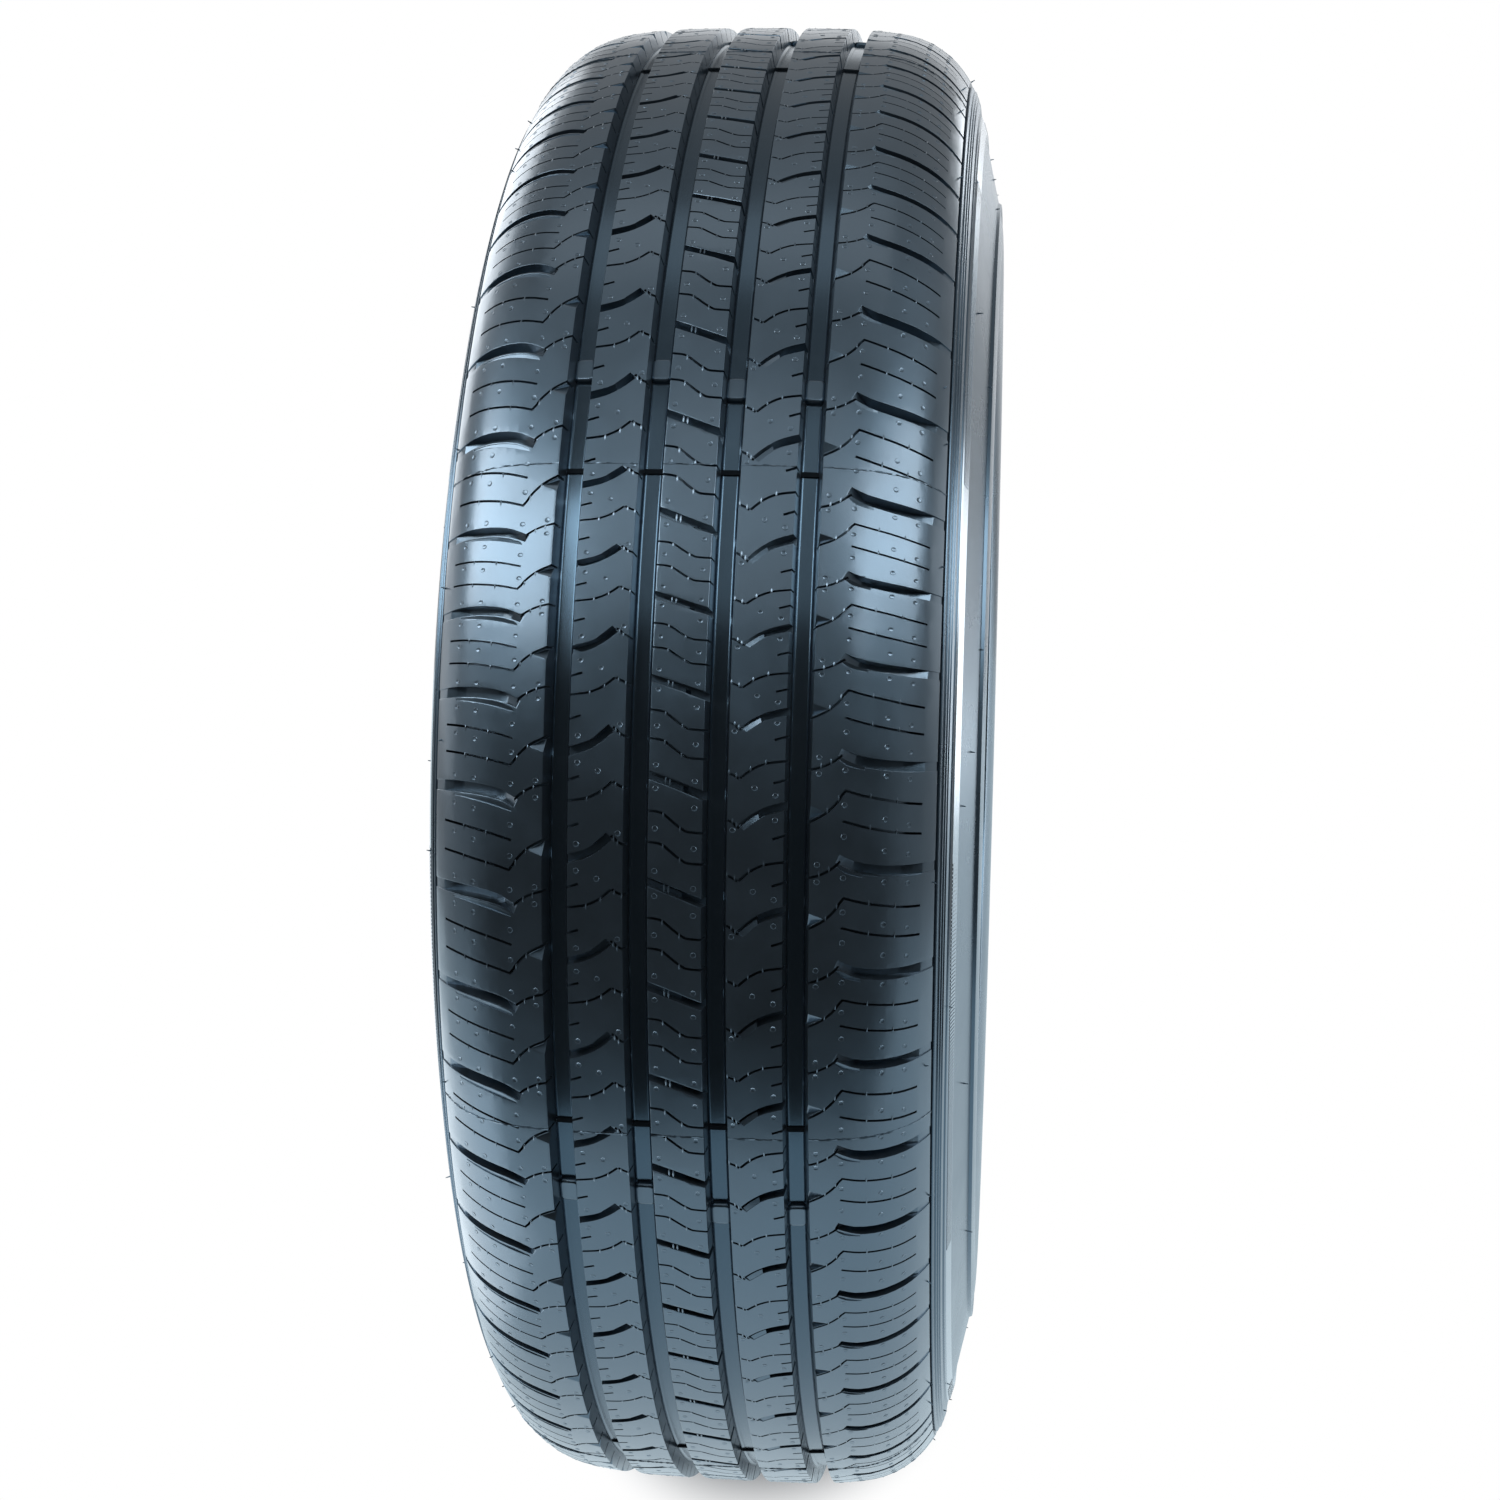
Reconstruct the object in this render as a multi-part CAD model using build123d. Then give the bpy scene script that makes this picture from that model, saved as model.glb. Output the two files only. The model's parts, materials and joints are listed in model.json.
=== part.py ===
from build123d import *
import math
import os

# Overall sizes of the tyre, in millimetres
overall_radius = 362.0
bead_radius = 218.3
casing_thickness = 15.5
sidewall_thickness = 9.7

# Outline of the section, from the crown out to the bead heel
crown_radius = 1716.0
crown_half_width = 36.6
crown_edge_radius = 204.0
crown_edge_turn = 8.1
shoulder_radius = 44.6
buttress_slope = 77.5
buttress_length = 50.0
flank_radius = 70.0
heel_radius = 7.0
bead_toe_y = 80.0

# Inner wall of the section
liner_crown_radius = 900.0
liner_crown_turn = 4.0
liner_shoulder_radius = 34.0
liner_buttress_length = 40.0
liner_flank_turn = 42.5

# Moulded lines of the sidewall, as distances along the buttress from its top
band_start = 6.0
band_end = 20.0
band_height = 0.8
wall_line_at = 2.5
letter_rim_at = 47.0
line_size = 2.0
edge_line_share = 0.78
rim_line_share = 0.72

# Circumferential grooves
groove_depth = 8.2
inner_groove_y = 15.0
inner_groove_width = 9.4
outer_groove_y = 45.9
outer_groove_width = 9.9
groove_floor_width = 5.5
clear_above = 6.0

# Wear bars across the groove floors
wear_bar_count = 7
wear_bar_height = 1.6
wear_bar_length = 7.6
wear_bar_turn_left = 51.3
wear_bar_turn_right = 52.6
bar_bite = 0.6

# Pitches of the tread: length of each kind at the crown, and their order around the tyre
pitch_length = {"S": 31.8, "M": 37.2, "L": 41.0}
pitch_order = "SSSSSSLLLSSMLLMLMMSMMLLMSMLLMMSSMLLMSMMLSLMSSMLLMMSLLSMMLSMLMM"
first_pitch_turn = 11.1
right_side_shift = -8.4

# Shoulder slots: distance from the mid-plane, and place along the longest pitch
slot_depth = 6.0
slot_foot_radius = 338.0
slot_inner_y = 60.6
slot_tip_y = 62.3
slot_middle_y = 78.0
slot_outer_y = 112.0
slot_upper = {"outer": 0.2, "middle": 0.8, "inner": 6.0}
slot_lower = {"outer": 5.2, "middle": 6.0, "tip": 9.5}

# Curved notches in the second and fourth ribs
notch_depth = 4.8
notch_mouth_y = 43.5
notch_middle_y = 33.0
notch_peak_y = 26.1
notch_tip_y = 23.9
notch_upper = {"mouth": 26.0, "middle": 22.8, "peak": 17.0}
notch_lower = {"mouth": 28.6, "middle": 25.8, "tip": 19.2}

# Slanting slots across the middle rib, shallow at one end
cross_slot_reach = 13.5
cross_slot_start = 33.0
cross_slot_slant = 9.8
cross_slot_width = 3.3
cross_slot_shallow = 2.0
cross_slot_deep = 6.0


def turn_of(length):
    """Angle about the axle, in degrees, of a length along the crown."""
    return math.degrees(length / overall_radius)


def point_along(edge, distance, height=0.0):
    """Point at a distance along an outline, and raised above it by a height."""
    way = edge % 0
    return edge @ 0 + way * distance + Vector(-way.Y, way.X) * height


def outer_outline():
    """Edges of one half of the outer section, crown first; X is the axle, Y the radius."""
    crown_turn = math.degrees(math.asin(crown_half_width / crown_radius))
    shoulder_turn = buttress_slope - crown_turn - crown_edge_turn
    crown = JernArc((0, overall_radius), (1, 0), crown_radius, -crown_turn)
    crown_edge = JernArc(crown @ 1, crown % 1, crown_edge_radius, -crown_edge_turn)
    shoulder = JernArc(crown_edge @ 1, crown_edge % 1, shoulder_radius, -shoulder_turn)
    buttress = Line(shoulder @ 1, shoulder @ 1 + (shoulder % 1) * buttress_length)
    drop = (buttress @ 1).Y - bead_radius - heel_radius
    start_cosine = math.cos(math.radians(buttress_slope))
    heel_cosine = (flank_radius * start_cosine - drop) / (flank_radius - heel_radius)
    heel_slope = math.degrees(math.acos(heel_cosine))
    flank = JernArc(buttress @ 1, buttress % 1, flank_radius, buttress_slope - heel_slope)
    heel = JernArc(flank @ 1, flank % 1, heel_radius, heel_slope - 180)
    return [crown, crown_edge, shoulder, buttress, flank, heel]


def inner_outline():
    """Edges of one half of the inner wall, crown first."""
    liner_top = overall_radius - casing_thickness
    crown = JernArc((0, liner_top), (1, 0), liner_crown_radius, -liner_crown_turn)
    shoulder_turn = buttress_slope - liner_crown_turn
    shoulder = JernArc(crown @ 1, crown % 1, liner_shoulder_radius, -shoulder_turn)
    wall = Line(shoulder @ 1, shoulder @ 1 + (shoulder % 1) * liner_buttress_length)
    flank_radius_inside = flank_radius - sidewall_thickness
    flank = JernArc(wall @ 1, wall % 1, flank_radius_inside, -liner_flank_turn)
    return [crown, shoulder, wall, flank]


def half_section():
    """One half of the tyre's section, with its raised sidewall band."""
    crown, crown_edge, shoulder, buttress, flank, heel = outer_outline()
    inside = inner_outline()
    band = Polyline(
        buttress @ 0,
        point_along(buttress, band_start),
        point_along(buttress, band_start + band_height, band_height),
        point_along(buttress, band_end - band_height, band_height),
        point_along(buttress, band_end),
        buttress @ 1,
    )
    toe = (bead_toe_y, bead_radius)
    bead = Polyline(heel @ 1, toe, inside[-1] @ 1)
    middle = Line((0, overall_radius), inside[0] @ 0)
    edges = [crown, crown_edge, shoulder, band, flank, heel, bead, middle] + inside
    return make_face(Wire.combine([e for line in edges for e in line.edges()])[0])


def ring(section):
    """A section in the axle and radius plane, turned about the axle."""
    return revolve(Plane.YZ * section, Axis.Y)


def line_ring(place):
    """A diamond turned about the axle, for a moulded line centred on the outline."""
    return ring(Pos(place.X, place.Y) * Rot(0, 0, 45) * Rectangle(line_size, line_size))


def both_sides(solids):
    """The solids and their mirror images on the other sidewall."""
    return solids + [mirror(solid, Plane.XZ) for solid in solids]


def groove(middle_y, width):
    """A circumferential groove with sloping walls."""
    floor = overall_radius - groove_depth
    spread = (width - groove_floor_width) / 2 / groove_depth
    top = overall_radius + clear_above
    top_half = groove_floor_width / 2 + spread * (top - floor)
    floor_half = groove_floor_width / 2
    outline = Polygon(
        (middle_y - floor_half, floor),
        (middle_y + floor_half, floor),
        (middle_y + top_half, top),
        (middle_y - top_half, top),
        align=None,
    )
    return ring(outline)


def casing():
    """The tyre body with plain grooves, before the tread pattern is cut."""
    half = half_section()
    body = ring(half + mirror(half, Plane.YZ))
    outline = outer_outline()
    shoulder, buttress, flank = outline[2], outline[3], outline[4]
    cut_lines = [line_ring(shoulder @ edge_line_share), line_ring(point_along(buttress, wall_line_at))]
    raised_lines = [line_ring(point_along(buttress, letter_rim_at)), line_ring(flank @ rim_line_share)]
    grooves = [groove(inner_groove_y, inner_groove_width), groove(outer_groove_y, outer_groove_width)]
    return (body + both_sides(raised_lines)) - both_sides(cut_lines + grooves)


def wear_bars():
    """Low bars across the groove floors, all around the tyre."""
    floor = overall_radius - groove_depth
    width = groove_floor_width + 2 * bar_bite + wear_bar_height / 2
    height = wear_bar_height + bar_bite
    block = Box(wear_bar_length, width, height, align=(Align.CENTER, Align.CENTER, Align.MIN))
    places = [
        (-outer_groove_y, wear_bar_turn_left),
        (-inner_groove_y, wear_bar_turn_left),
        (inner_groove_y, wear_bar_turn_right),
        (outer_groove_y, wear_bar_turn_right),
    ]
    bars = []
    for number in range(wear_bar_count):
        step = number * 360 / wear_bar_count
        for middle_y, turn in places:
            bars.append(Rot(0, turn + step, 0) * Pos(0, middle_y, floor - bar_bite) * block)
    return bars


def shoulder_band():
    """The ring of rubber that the shoulder slots go through, thinner towards the tread edge."""
    crown, crown_edge, shoulder = outer_outline()[:3]
    low_corner = (0, (shoulder @ 1).Y)
    close = Polyline(shoulder @ 1, low_corner, crown @ 0)
    surface = make_face(crown.edges() + crown_edge.edges() + shoulder.edges() + close.edges())
    height = overall_radius + clear_above - slot_foot_radius
    corner = (Align.MIN, Align.MIN)
    block = Pos(0, slot_foot_radius) * Rectangle(slot_outer_y, height, align=corner)
    return mirror(ring(block - Pos(0, -slot_depth) * surface), Plane.XZ)


def standing(outline, start, floor, height):
    """A prism on a floor plane under the crown, turned to its place along the pitch."""
    face = floor * Pos(-start, 0) * outline
    return Rot(0, turn_of(start), 0) * extrude(face, amount=height, dir=floor.z_dir)


def stretched(places, scale):
    """Places along the longest pitch, moved to where a pitch of another length has them."""
    return {name: place * scale for name, place in places.items()}


def shoulder_slot(scale, band):
    """A slot across the left shoulder, open at the tread edge and pointed inside."""
    upper = stretched(slot_upper, scale)
    lower = stretched(slot_lower, scale)
    outline = Polygon(
        (upper["outer"], -slot_outer_y),
        (upper["middle"], -slot_middle_y),
        (upper["inner"], -slot_inner_y),
        (lower["tip"], -slot_tip_y),
        (lower["middle"], -slot_middle_y),
        (lower["outer"], -slot_outer_y),
        align=None,
    )
    floor = Plane.XY.offset(slot_foot_radius - slot_depth)
    height = overall_radius + clear_above - floor.origin.Z
    return standing(outline, upper["inner"], floor, height) & band


def rib_notch(scale):
    """A curved notch from the outer groove into the second rib."""
    upper = stretched(notch_upper, scale)
    lower = stretched(notch_lower, scale)
    outline = Polygon(
        (upper["mouth"], -notch_mouth_y),
        (upper["middle"], -notch_middle_y),
        (upper["peak"], -notch_peak_y),
        (lower["tip"], -notch_tip_y),
        (lower["middle"], -notch_middle_y),
        (lower["mouth"], -notch_mouth_y),
        align=None,
    )
    floor = Plane.XY.offset(overall_radius - notch_depth)
    return standing(outline, upper["middle"], floor, notch_depth + clear_above)


def cross_slot(scale):
    """A slanting slot across the middle rib, its floor falling from left to right."""
    start = cross_slot_start * scale
    end = start + cross_slot_slant * scale
    width = cross_slot_width * scale
    outline = Polygon(
        (start, -cross_slot_reach),
        (end, cross_slot_reach),
        (end + width, cross_slot_reach),
        (start + width, -cross_slot_reach),
        align=None,
    )
    mean_depth = (cross_slot_shallow + cross_slot_deep) / 2
    fall = math.atan2(cross_slot_deep - cross_slot_shallow, 2 * cross_slot_reach)
    floor = Plane(
        origin=(0, 0, overall_radius - mean_depth),
        x_dir=(1, 0, 0),
        z_dir=(0, math.sin(fall), math.cos(fall)),
    )
    return standing(outline, (start + end) / 2, floor, cross_slot_deep + clear_above)


def tread_cutters():
    """Every slot and notch of the tread, pitch by pitch around the tyre."""
    band = shoulder_band()
    longest = max(pitch_length.values())
    side_pattern = {}
    middle_pattern = {}
    for kind, length in pitch_length.items():
        scale = length / longest
        side_pattern[kind] = [shoulder_slot(scale, band), rib_notch(scale)]
        middle_pattern[kind] = [cross_slot(scale)]
    around = sum(pitch_length[kind] for kind in pitch_order)
    half_turn = Rot(0, 0, 180)
    shift = turn_of(right_side_shift)
    turn = first_pitch_turn
    cutters = []
    for kind in pitch_order:
        pitch_turn = 360 * pitch_length[kind] / around
        left = Rot(0, turn, 0)
        right = Rot(0, turn + pitch_turn + shift, 0) * half_turn
        cutters += [left * cutter for cutter in side_pattern[kind] + middle_pattern[kind]]
        cutters += [right * cutter for cutter in side_pattern[kind]]
        turn += pitch_turn
    return cutters


def tyre():
    """The whole tyre as one moulded solid."""
    return (casing() + wear_bars()) - tread_cutters()


os.makedirs("parts", exist_ok=True)
export_step(tyre(), "parts/tyre.step", write_pcurves=False)
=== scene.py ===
import collections
import json
import math
import random

import bmesh
import bpy
from mathutils import Matrix, Quaternion, Vector


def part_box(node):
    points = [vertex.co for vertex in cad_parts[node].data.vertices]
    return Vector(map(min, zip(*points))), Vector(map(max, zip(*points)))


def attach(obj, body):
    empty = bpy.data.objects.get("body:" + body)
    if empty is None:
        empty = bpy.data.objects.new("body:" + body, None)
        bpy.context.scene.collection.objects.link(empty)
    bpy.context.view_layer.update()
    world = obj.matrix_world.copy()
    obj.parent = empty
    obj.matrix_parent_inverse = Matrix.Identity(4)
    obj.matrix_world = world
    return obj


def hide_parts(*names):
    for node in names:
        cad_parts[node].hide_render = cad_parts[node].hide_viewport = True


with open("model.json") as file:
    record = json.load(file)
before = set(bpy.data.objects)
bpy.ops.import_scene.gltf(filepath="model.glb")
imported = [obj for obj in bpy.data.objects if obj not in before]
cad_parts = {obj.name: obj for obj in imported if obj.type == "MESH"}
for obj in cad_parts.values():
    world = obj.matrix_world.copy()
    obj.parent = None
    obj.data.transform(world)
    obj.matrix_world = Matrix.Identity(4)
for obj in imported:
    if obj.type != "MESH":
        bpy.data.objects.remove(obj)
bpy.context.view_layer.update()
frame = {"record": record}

bl_info = {
    "name": "Car Tyre",
    "version": (1, 0, 0),
    "blender": (4, 5, 0),
    "location": "View3D > Sidebar > Tyre",
    "description": "Dresses a radial car tyre: siped tread ribs, grooves, sidewalls and moulding marks",
    "category": "Add Mesh",
}

MM = 0.001
TYRE_LOW, TYRE_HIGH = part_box("tyre")
BEAD_SEAT = frame["record"]["mounts"][0]["dims"]

# Kinds of pitch around the tyre: tiny, short, middle and long
PITCH_ORDER = "TTTSTSLLLSSMLLMLMMSMMLLMSMLLMMSSMLLMSMMLSLMSSMLLMMSLLLMMLLMLMM"

# Places in the tread pattern, in millimetres: across from the mid-plane, left being negative, then along a
# long pitch the way the tread turns, then depth where the cut has a floor of its own.
SLOT_UPPER = [(-101, 0.6, 0.6), (-93.0, 0.0, 0.6), (-88.0, -0.3, 4.6), (-80.0, 0.0, 6.2), (-72.4, 1.0, 6.6),
              (-67.0, 2.5, 6.2), (-60.5, 5.9, 0.0)]
SLOT_LOWER = [(-101, 4.6, 0.6), (-93.6, 4.3, 0.6), (-88.6, 4.2, 4.6), (-82.0, 4.4, 6.2), (-76.0, 4.9, 6.6),
              (-68.0, 6.3, 6.2), (-61.9, 9.0, 0.0)]
VALLEY_UPPER = [(-87.5, 5.2, 0.2), (-83.0, 5.1, 0.3), (-76.0, 5.7, 0.3), (-68.8, 7.1, 0.3),
                (-63.6, 9.4, 0.2)]
VALLEY_LOWER = [(-87.5, 5.6, 0.2), (-83.0, 6.0, 0.4), (-76.0, 7.2, 0.5), (-69.5, 8.7, 0.6),
                (-63.2, 10.4, 0.3)]
FACET_UPPER = [(-60.2, 5.2, 0.2), (-64.0, 1.9, 0.6), (-70.5, 0.2, 0.2)]
FACET_LOWER = [(-61.0, 6.4, 0.05), (-64.4, 4.2, 0.05), (-70.5, 1.6, 0.05)]
SLOT_TAIL = [(-62.0, 6.6), (-59.0, 4.1), (-56.1, 2.3), (-53.2, 1.1), (-48.5, -0.1)]
SHOULDER_SIPE = [(-91.9, 16.7), (-85.1, 17.4), (-77.8, 18.6), (-70.6, 20.1), (-63.0, 22.2)]
BENT_SIPE = [(-91.9, 28.5), (-85.1, 29.2), (-77.8, 30.5), (-70.6, 31.9), (-63.6, 33.8)]
BENT_SIPE_TAIL = [(-63.6, 33.8), (-61.9, 31.7), (-60.5, 29.4), (-57.9, 26.5), (-54.6, 23.9), (-48.0, 20.4)]
CORNER_UPPER = [(-56.1, 25.0, 0.0), (-47.6, 20.4, 3.8)]
CORNER_LOWER = [(-55.6, 25.5, 0.0), (-48.6, 28.0, 0.0)]
NOTCH_UPPER = [(-43.5, 11.1, 6.2), (-40.2, 10.2, 6.2), (-34.4, 8.4, 6.0), (-31.6, 6.9, 5.8)]
NOTCH_LOWER = [(-43.5, 14.8, 6.2), (-37.4, 13.1, 6.2), (-33.5, 11.6, 6.0), (-31.0, 10.2, 5.8)]
CHANNEL_UPPER = [(-33.0, 9.9, 5.8), (-30.1, 8.1, 5.6), (-27.1, 5.7, 5.2), (-24.6, 3.3, 4.6)]
CHANNEL_LOWER = [(-32.5, 11.0, 5.8), (-29.5, 9.2, 5.6), (-26.5, 6.8, 5.2), (-23.9, 4.3, 4.6)]
TIP_UPPER = [(-31.6, 6.7, 5.8), (-29.0, 4.4, 5.6), (-26.1, 1.7, 5.0)]
TIP_LOWER = [(-31.9, 9.4, 5.8), (-29.4, 7.7, 5.6), (-24.4, 3.5, 5.0)]
RIGHT_TIP_UPPER = [(-31.6, 6.9, 0.2), (-29.0, 4.6, 0.2), (-26.1, 1.9, 0.2)]
RIGHT_TIP_LOWER = [(-31.9, 9.4, 0.7), (-29.4, 7.7, 0.7), (-24.4, 3.5, 0.6)]
NOTCH_TAIL = [(-24.6, 3.3), (-23.2, 4.1), (-21.7, 5.7), (-16.5, 7.9)]
RIB_SIPE = [(-43.5, 31.8), (-36.2, 30.8), (-32.6, 29.9), (-29.0, 28.1), (-26.4, 26.1), (-23.9, 23.8)]
RIB_SIPE_TAIL = [(-24.1, 23.7), (-21.7, 25.2), (-16.5, 27.3)]
RIB_TICKS = [[(-43.5, 1.4), (-36.6, -0.9)], [(-43.5, 24.5), (-36.6, 22.2)]]
MIDDLE_SIPE = [(-13.5, 20.6), (-9.0, 21.0), (-5.4, 21.6), (-2.9, 23.4), (0.0, 25.8), (2.9, 27.8),
               (5.4, 28.7), (13.5, 29.1)]
MIDDLE_SIPE_STEP = 29.1
CROSS_UPPER = [(-13.5, 32.6, 4.0), (2.4, 38.6, 4.0), (4.0, 39.3, 6.8), (13.5, 42.9, 6.8)]
CROSS_WIDTH = 3.35
CROSS_CHANNEL = 1.5
CROSS_DEPTH = 6.4
CROSS_TIES = [(-3.8, 37.9), (-2.2, 38.5)]
SHOULDER_VENTS = [(-87.2, 8.4), (-87.2, 19.9), (-87.2, 38.0), (-78.6, 10.2), (-78.6, 22.4), (-78.6, 39.1),
                  (-63.4, 0.0), (-63.4, 15.8), (-63.4, 27.8), (-53.6, -1.6), (-53.6, 5.0)]
RIB_VENTS = [(-37.6, 6.4), (-37.6, 16.6), (-29.7, 19.5), (-21.7, 1.9)]
MIDDLE_VENTS = [(-7.6, 0.0), (-7.6, 15.2), (-7.6, 31.4), (7.2, 7.2), (7.2, 22.6), (7.2, 37.8)]

# Turns from the top, in degrees, of the mould joints and of the wear bars in the left grooves
JOINT_TURNS = [14.4, 56.9, 98.9, 138.2, 177.6, 217.0, 256.3, 295.7, 335.0]
WEAR_TURNS = [49.8, 104.2, 155.2, 206.1, 257.1, 308.1, 359.1]

# Reach along the section of the rows where the sidewalls keep moulding hairs
HAIR_REACHES = [101.5, 104.5, 104.5, 117.5, 124.0, 138.8, 152.0, 163.0]

# Lines along the section, in millimetres, where the flat ribs are cut to bend over the crown
SHOULDER_BENDS = [-(52 + 4.2 * number) for number in range(13)]
RIB_BENDS = [-27, -34]
MIDDLE_BENDS = [-5, 5]

# How far small raised marks reach down into the rubber that carries them
ROOT = 1.0 * MM
SHALLOW_ROOT = 0.3 * MM

# Light of the studio from behind the tyre to the front: place on that way, then level
STUDIO_LEVELS = [(0.022, 1.0), (0.04, 0.3), (0.62, 0.26), (0.85, 0.04)]
WHITE = (1.0, 1.0, 1.0, 1.0)

# Soft lamps: place in metres, roll in degrees, width and height in metres, power in watts
LAMPS = [
    ("overhead", (0.0, -0.05, 1.9), 90, 1.6, 0.5, 1.2),
    ("front_top", (1.14, 0.0, 1.26), 0, 0.6, 0.9, 1.0),
    ("left_front", (0.76, -1.14, 0.94), 16, 1.85, 0.62, 19.0),
    ("right_front", (0.78, 1.05, 1.00), -15, 1.75, 0.62, 14.0),
    ("left_back", (-1.25, -1.10, 0.55), 0, 1.0, 1.2, 7.5),
    ("right_back", (-1.50, 0.78, 0.52), 0, 0.4, 0.4, 1.5),
    ("left_side", (-0.35, -1.50, 0.12), 0, 1.0, 0.5, 1.0),
    ("right_side", (-0.50, 1.55, 0.28), 0, 0.7, 0.5, 0.8),
    ("left_low", (0.10, -0.34, -0.28), 0, 0.8, 0.24, 0.55),
    ("right_low", (-1.08, 1.18, -0.14), 0, 0.5, 0.5, 2.6),
]

# A groove of the tread: its middle and edges across from the mid-plane, and how much its walls spread
Groove = collections.namedtuple("Groove", ["middle", "low", "high", "spread"])


def length(name, description, millimetres):
    """A length property, given in millimetres and kept in metres."""
    return bpy.props.FloatProperty(
        name=name, description=description, default=millimetres * MM, unit="LENGTH", precision=5
    )


def turn(name, description, degrees):
    """An angle property, given in degrees."""
    return bpy.props.FloatProperty(
        name=name, description=description, default=math.radians(degrees), subtype="ANGLE"
    )


def colour(name, description, red, green, blue):
    """A colour property."""
    return bpy.props.FloatVectorProperty(
        name=name, description=description, default=(red, green, blue), subtype="COLOR", min=0.0, max=1.0
    )


class TyreSectionSizes(bpy.types.PropertyGroup):
    """Section of the tyre, from the crown out to the beads"""

    overall_radius: length("Overall radius", "Axle to the middle of the tread", TYRE_HIGH.z / MM)
    bead_radius: length("Bead radius", "Axle to the bead seats", BEAD_SEAT["r_mm"])
    bead_toe: length("Bead toe", "Mid-plane to the inner edge of a bead", 80.0)
    crown_radius: length("Crown radius", "Curve of the tread across its middle", 1716.0)
    crown_half_width: length("Crown half width", "Reach of the middle curve", 36.6)
    crown_edge_radius: length("Crown edge radius", "Curve of the tread towards its shoulders", 204.0)
    crown_edge_turn: turn("Crown edge turn", "Turn of that curve", 8.1)
    shoulder_radius: length("Shoulder radius", "Curve of the shoulders", 44.6)
    buttress_slope: turn("Buttress slope", "Slope of the straight upper sidewall", 77.5)
    buttress_length: length("Buttress length", "Length of the straight upper sidewall", 50.0)
    flank_radius: length("Flank radius", "Curve of the sidewall at its widest", 70.0)
    heel_radius: length("Heel radius", "Round of the bead heels", 7.0)
    casing_thickness: length("Casing thickness", "Tread and belts together at the crown", 15.5)
    sidewall_thickness: length("Sidewall thickness", "Wall at the flanks", 9.7)
    liner_crown_radius: length("Liner crown radius", "Curve of the inside under the tread", 900.0)
    liner_crown_turn: turn("Liner crown turn", "Turn of that curve", 4.0)
    liner_shoulder_radius: length("Liner shoulder radius", "Curve of the inside at the shoulders", 34.0)
    liner_wall: length("Liner wall", "Straight part of the inside", 40.0)
    liner_flank_turn: turn("Liner flank turn", "Turn of the inside towards the beads", 42.5)
    edge_line: length("Edge line", "Along the section from the crown to the line at the tread edge", 106.8)


class TreadSizes(bpy.types.PropertyGroup):
    """Grooves, ribs and pitches of the tread"""

    groove_depth: length("Groove depth", "Depth of the four grooves", 8.2)
    groove_floor: length("Groove floor", "Width of the groove floors", 7.0)
    groove_fillet: length("Groove fillet", "Round between groove floor and wall", 1.2)
    inner_groove: length("Inner groove", "Mid-plane to the middle of an inner groove", 15.0)
    inner_groove_width: length("Inner groove width", "Width at the tread surface", 9.4)
    outer_groove: length("Outer groove", "Mid-plane to the middle of an outer groove", 45.9)
    outer_groove_width: length("Outer groove width", "Width at the tread surface", 9.9)
    edge_round: length("Edge round", "Rounding of the edges of ribs and slots", 0.4)
    sipe_width: length("Sipe width", "Width of the thin cuts", 1.0)
    sipe_depth: length("Sipe depth", "Depth of the thin cuts", 5.5)
    tiny_pitch: length("Tiny pitch", "Shortest repeat of the pattern", 27.0)
    short_pitch: length("Short pitch", "Short repeat of the pattern", 31.8)
    middle_pitch: length("Middle pitch", "Middle repeat of the pattern", 37.2)
    long_pitch: length("Long pitch", "Longest repeat of the pattern", 41.0)
    first_pitch: turn("First pitch", "Turn from the top to the first pitch", 14.31)
    right_shift: length("Right shift", "How far the right half lags behind the left", -8.6)
    rib_shift: length("Rib shift", "How far the side ribs lead or lag the shoulders", 25.3)
    wear_bar_height: length("Wear bar height", "Height over the groove floor", 2.4)
    wear_bar_length: length("Wear bar length", "Length along the groove", 10.2)
    wear_bar_width: length("Wear bar width", "Width across the groove, its ends let into the ribs", 8.2)
    wear_bar_corner: length("Wear bar corner", "Rounding of the corners of a wear bar", 2.0)
    wear_bar_rim: length("Wear bar rim", "Rounding of the upper rim of a wear bar", 1.3)
    wear_lag: turn("Wear lag", "How far the wear bars of the right grooves lag the left ones", 1.35)
    joint_width: length("Mould joint width", "Width of the raised line at a mould joint", 0.6)
    joint_height: length("Mould joint height", "Height of that line over the tread", 0.36)
    flash_length: length("Flash length", "Length of the rough flash on the groove floors at a joint", 2.0)
    flash_height: length("Flash height", "Height of that flash", 0.8)
    flash_width: length("Flash width", "Width of that flash, its ends let into the ribs", 8.6)
    vent_size: length("Vent size", "Width of a vent mark", 2.5)
    vent_height: length("Vent height", "Height of a vent mark over the tread", 0.12)
    tie_width: length("Tie width", "Width of the small ties that bridge the thin cuts", 0.8)
    tie_length: length("Tie length", "Length of those ties along the tread", 3.0)
    bridge_length: length("Bridge length", "Length of the ties across the middle slots", 3.6)


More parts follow.
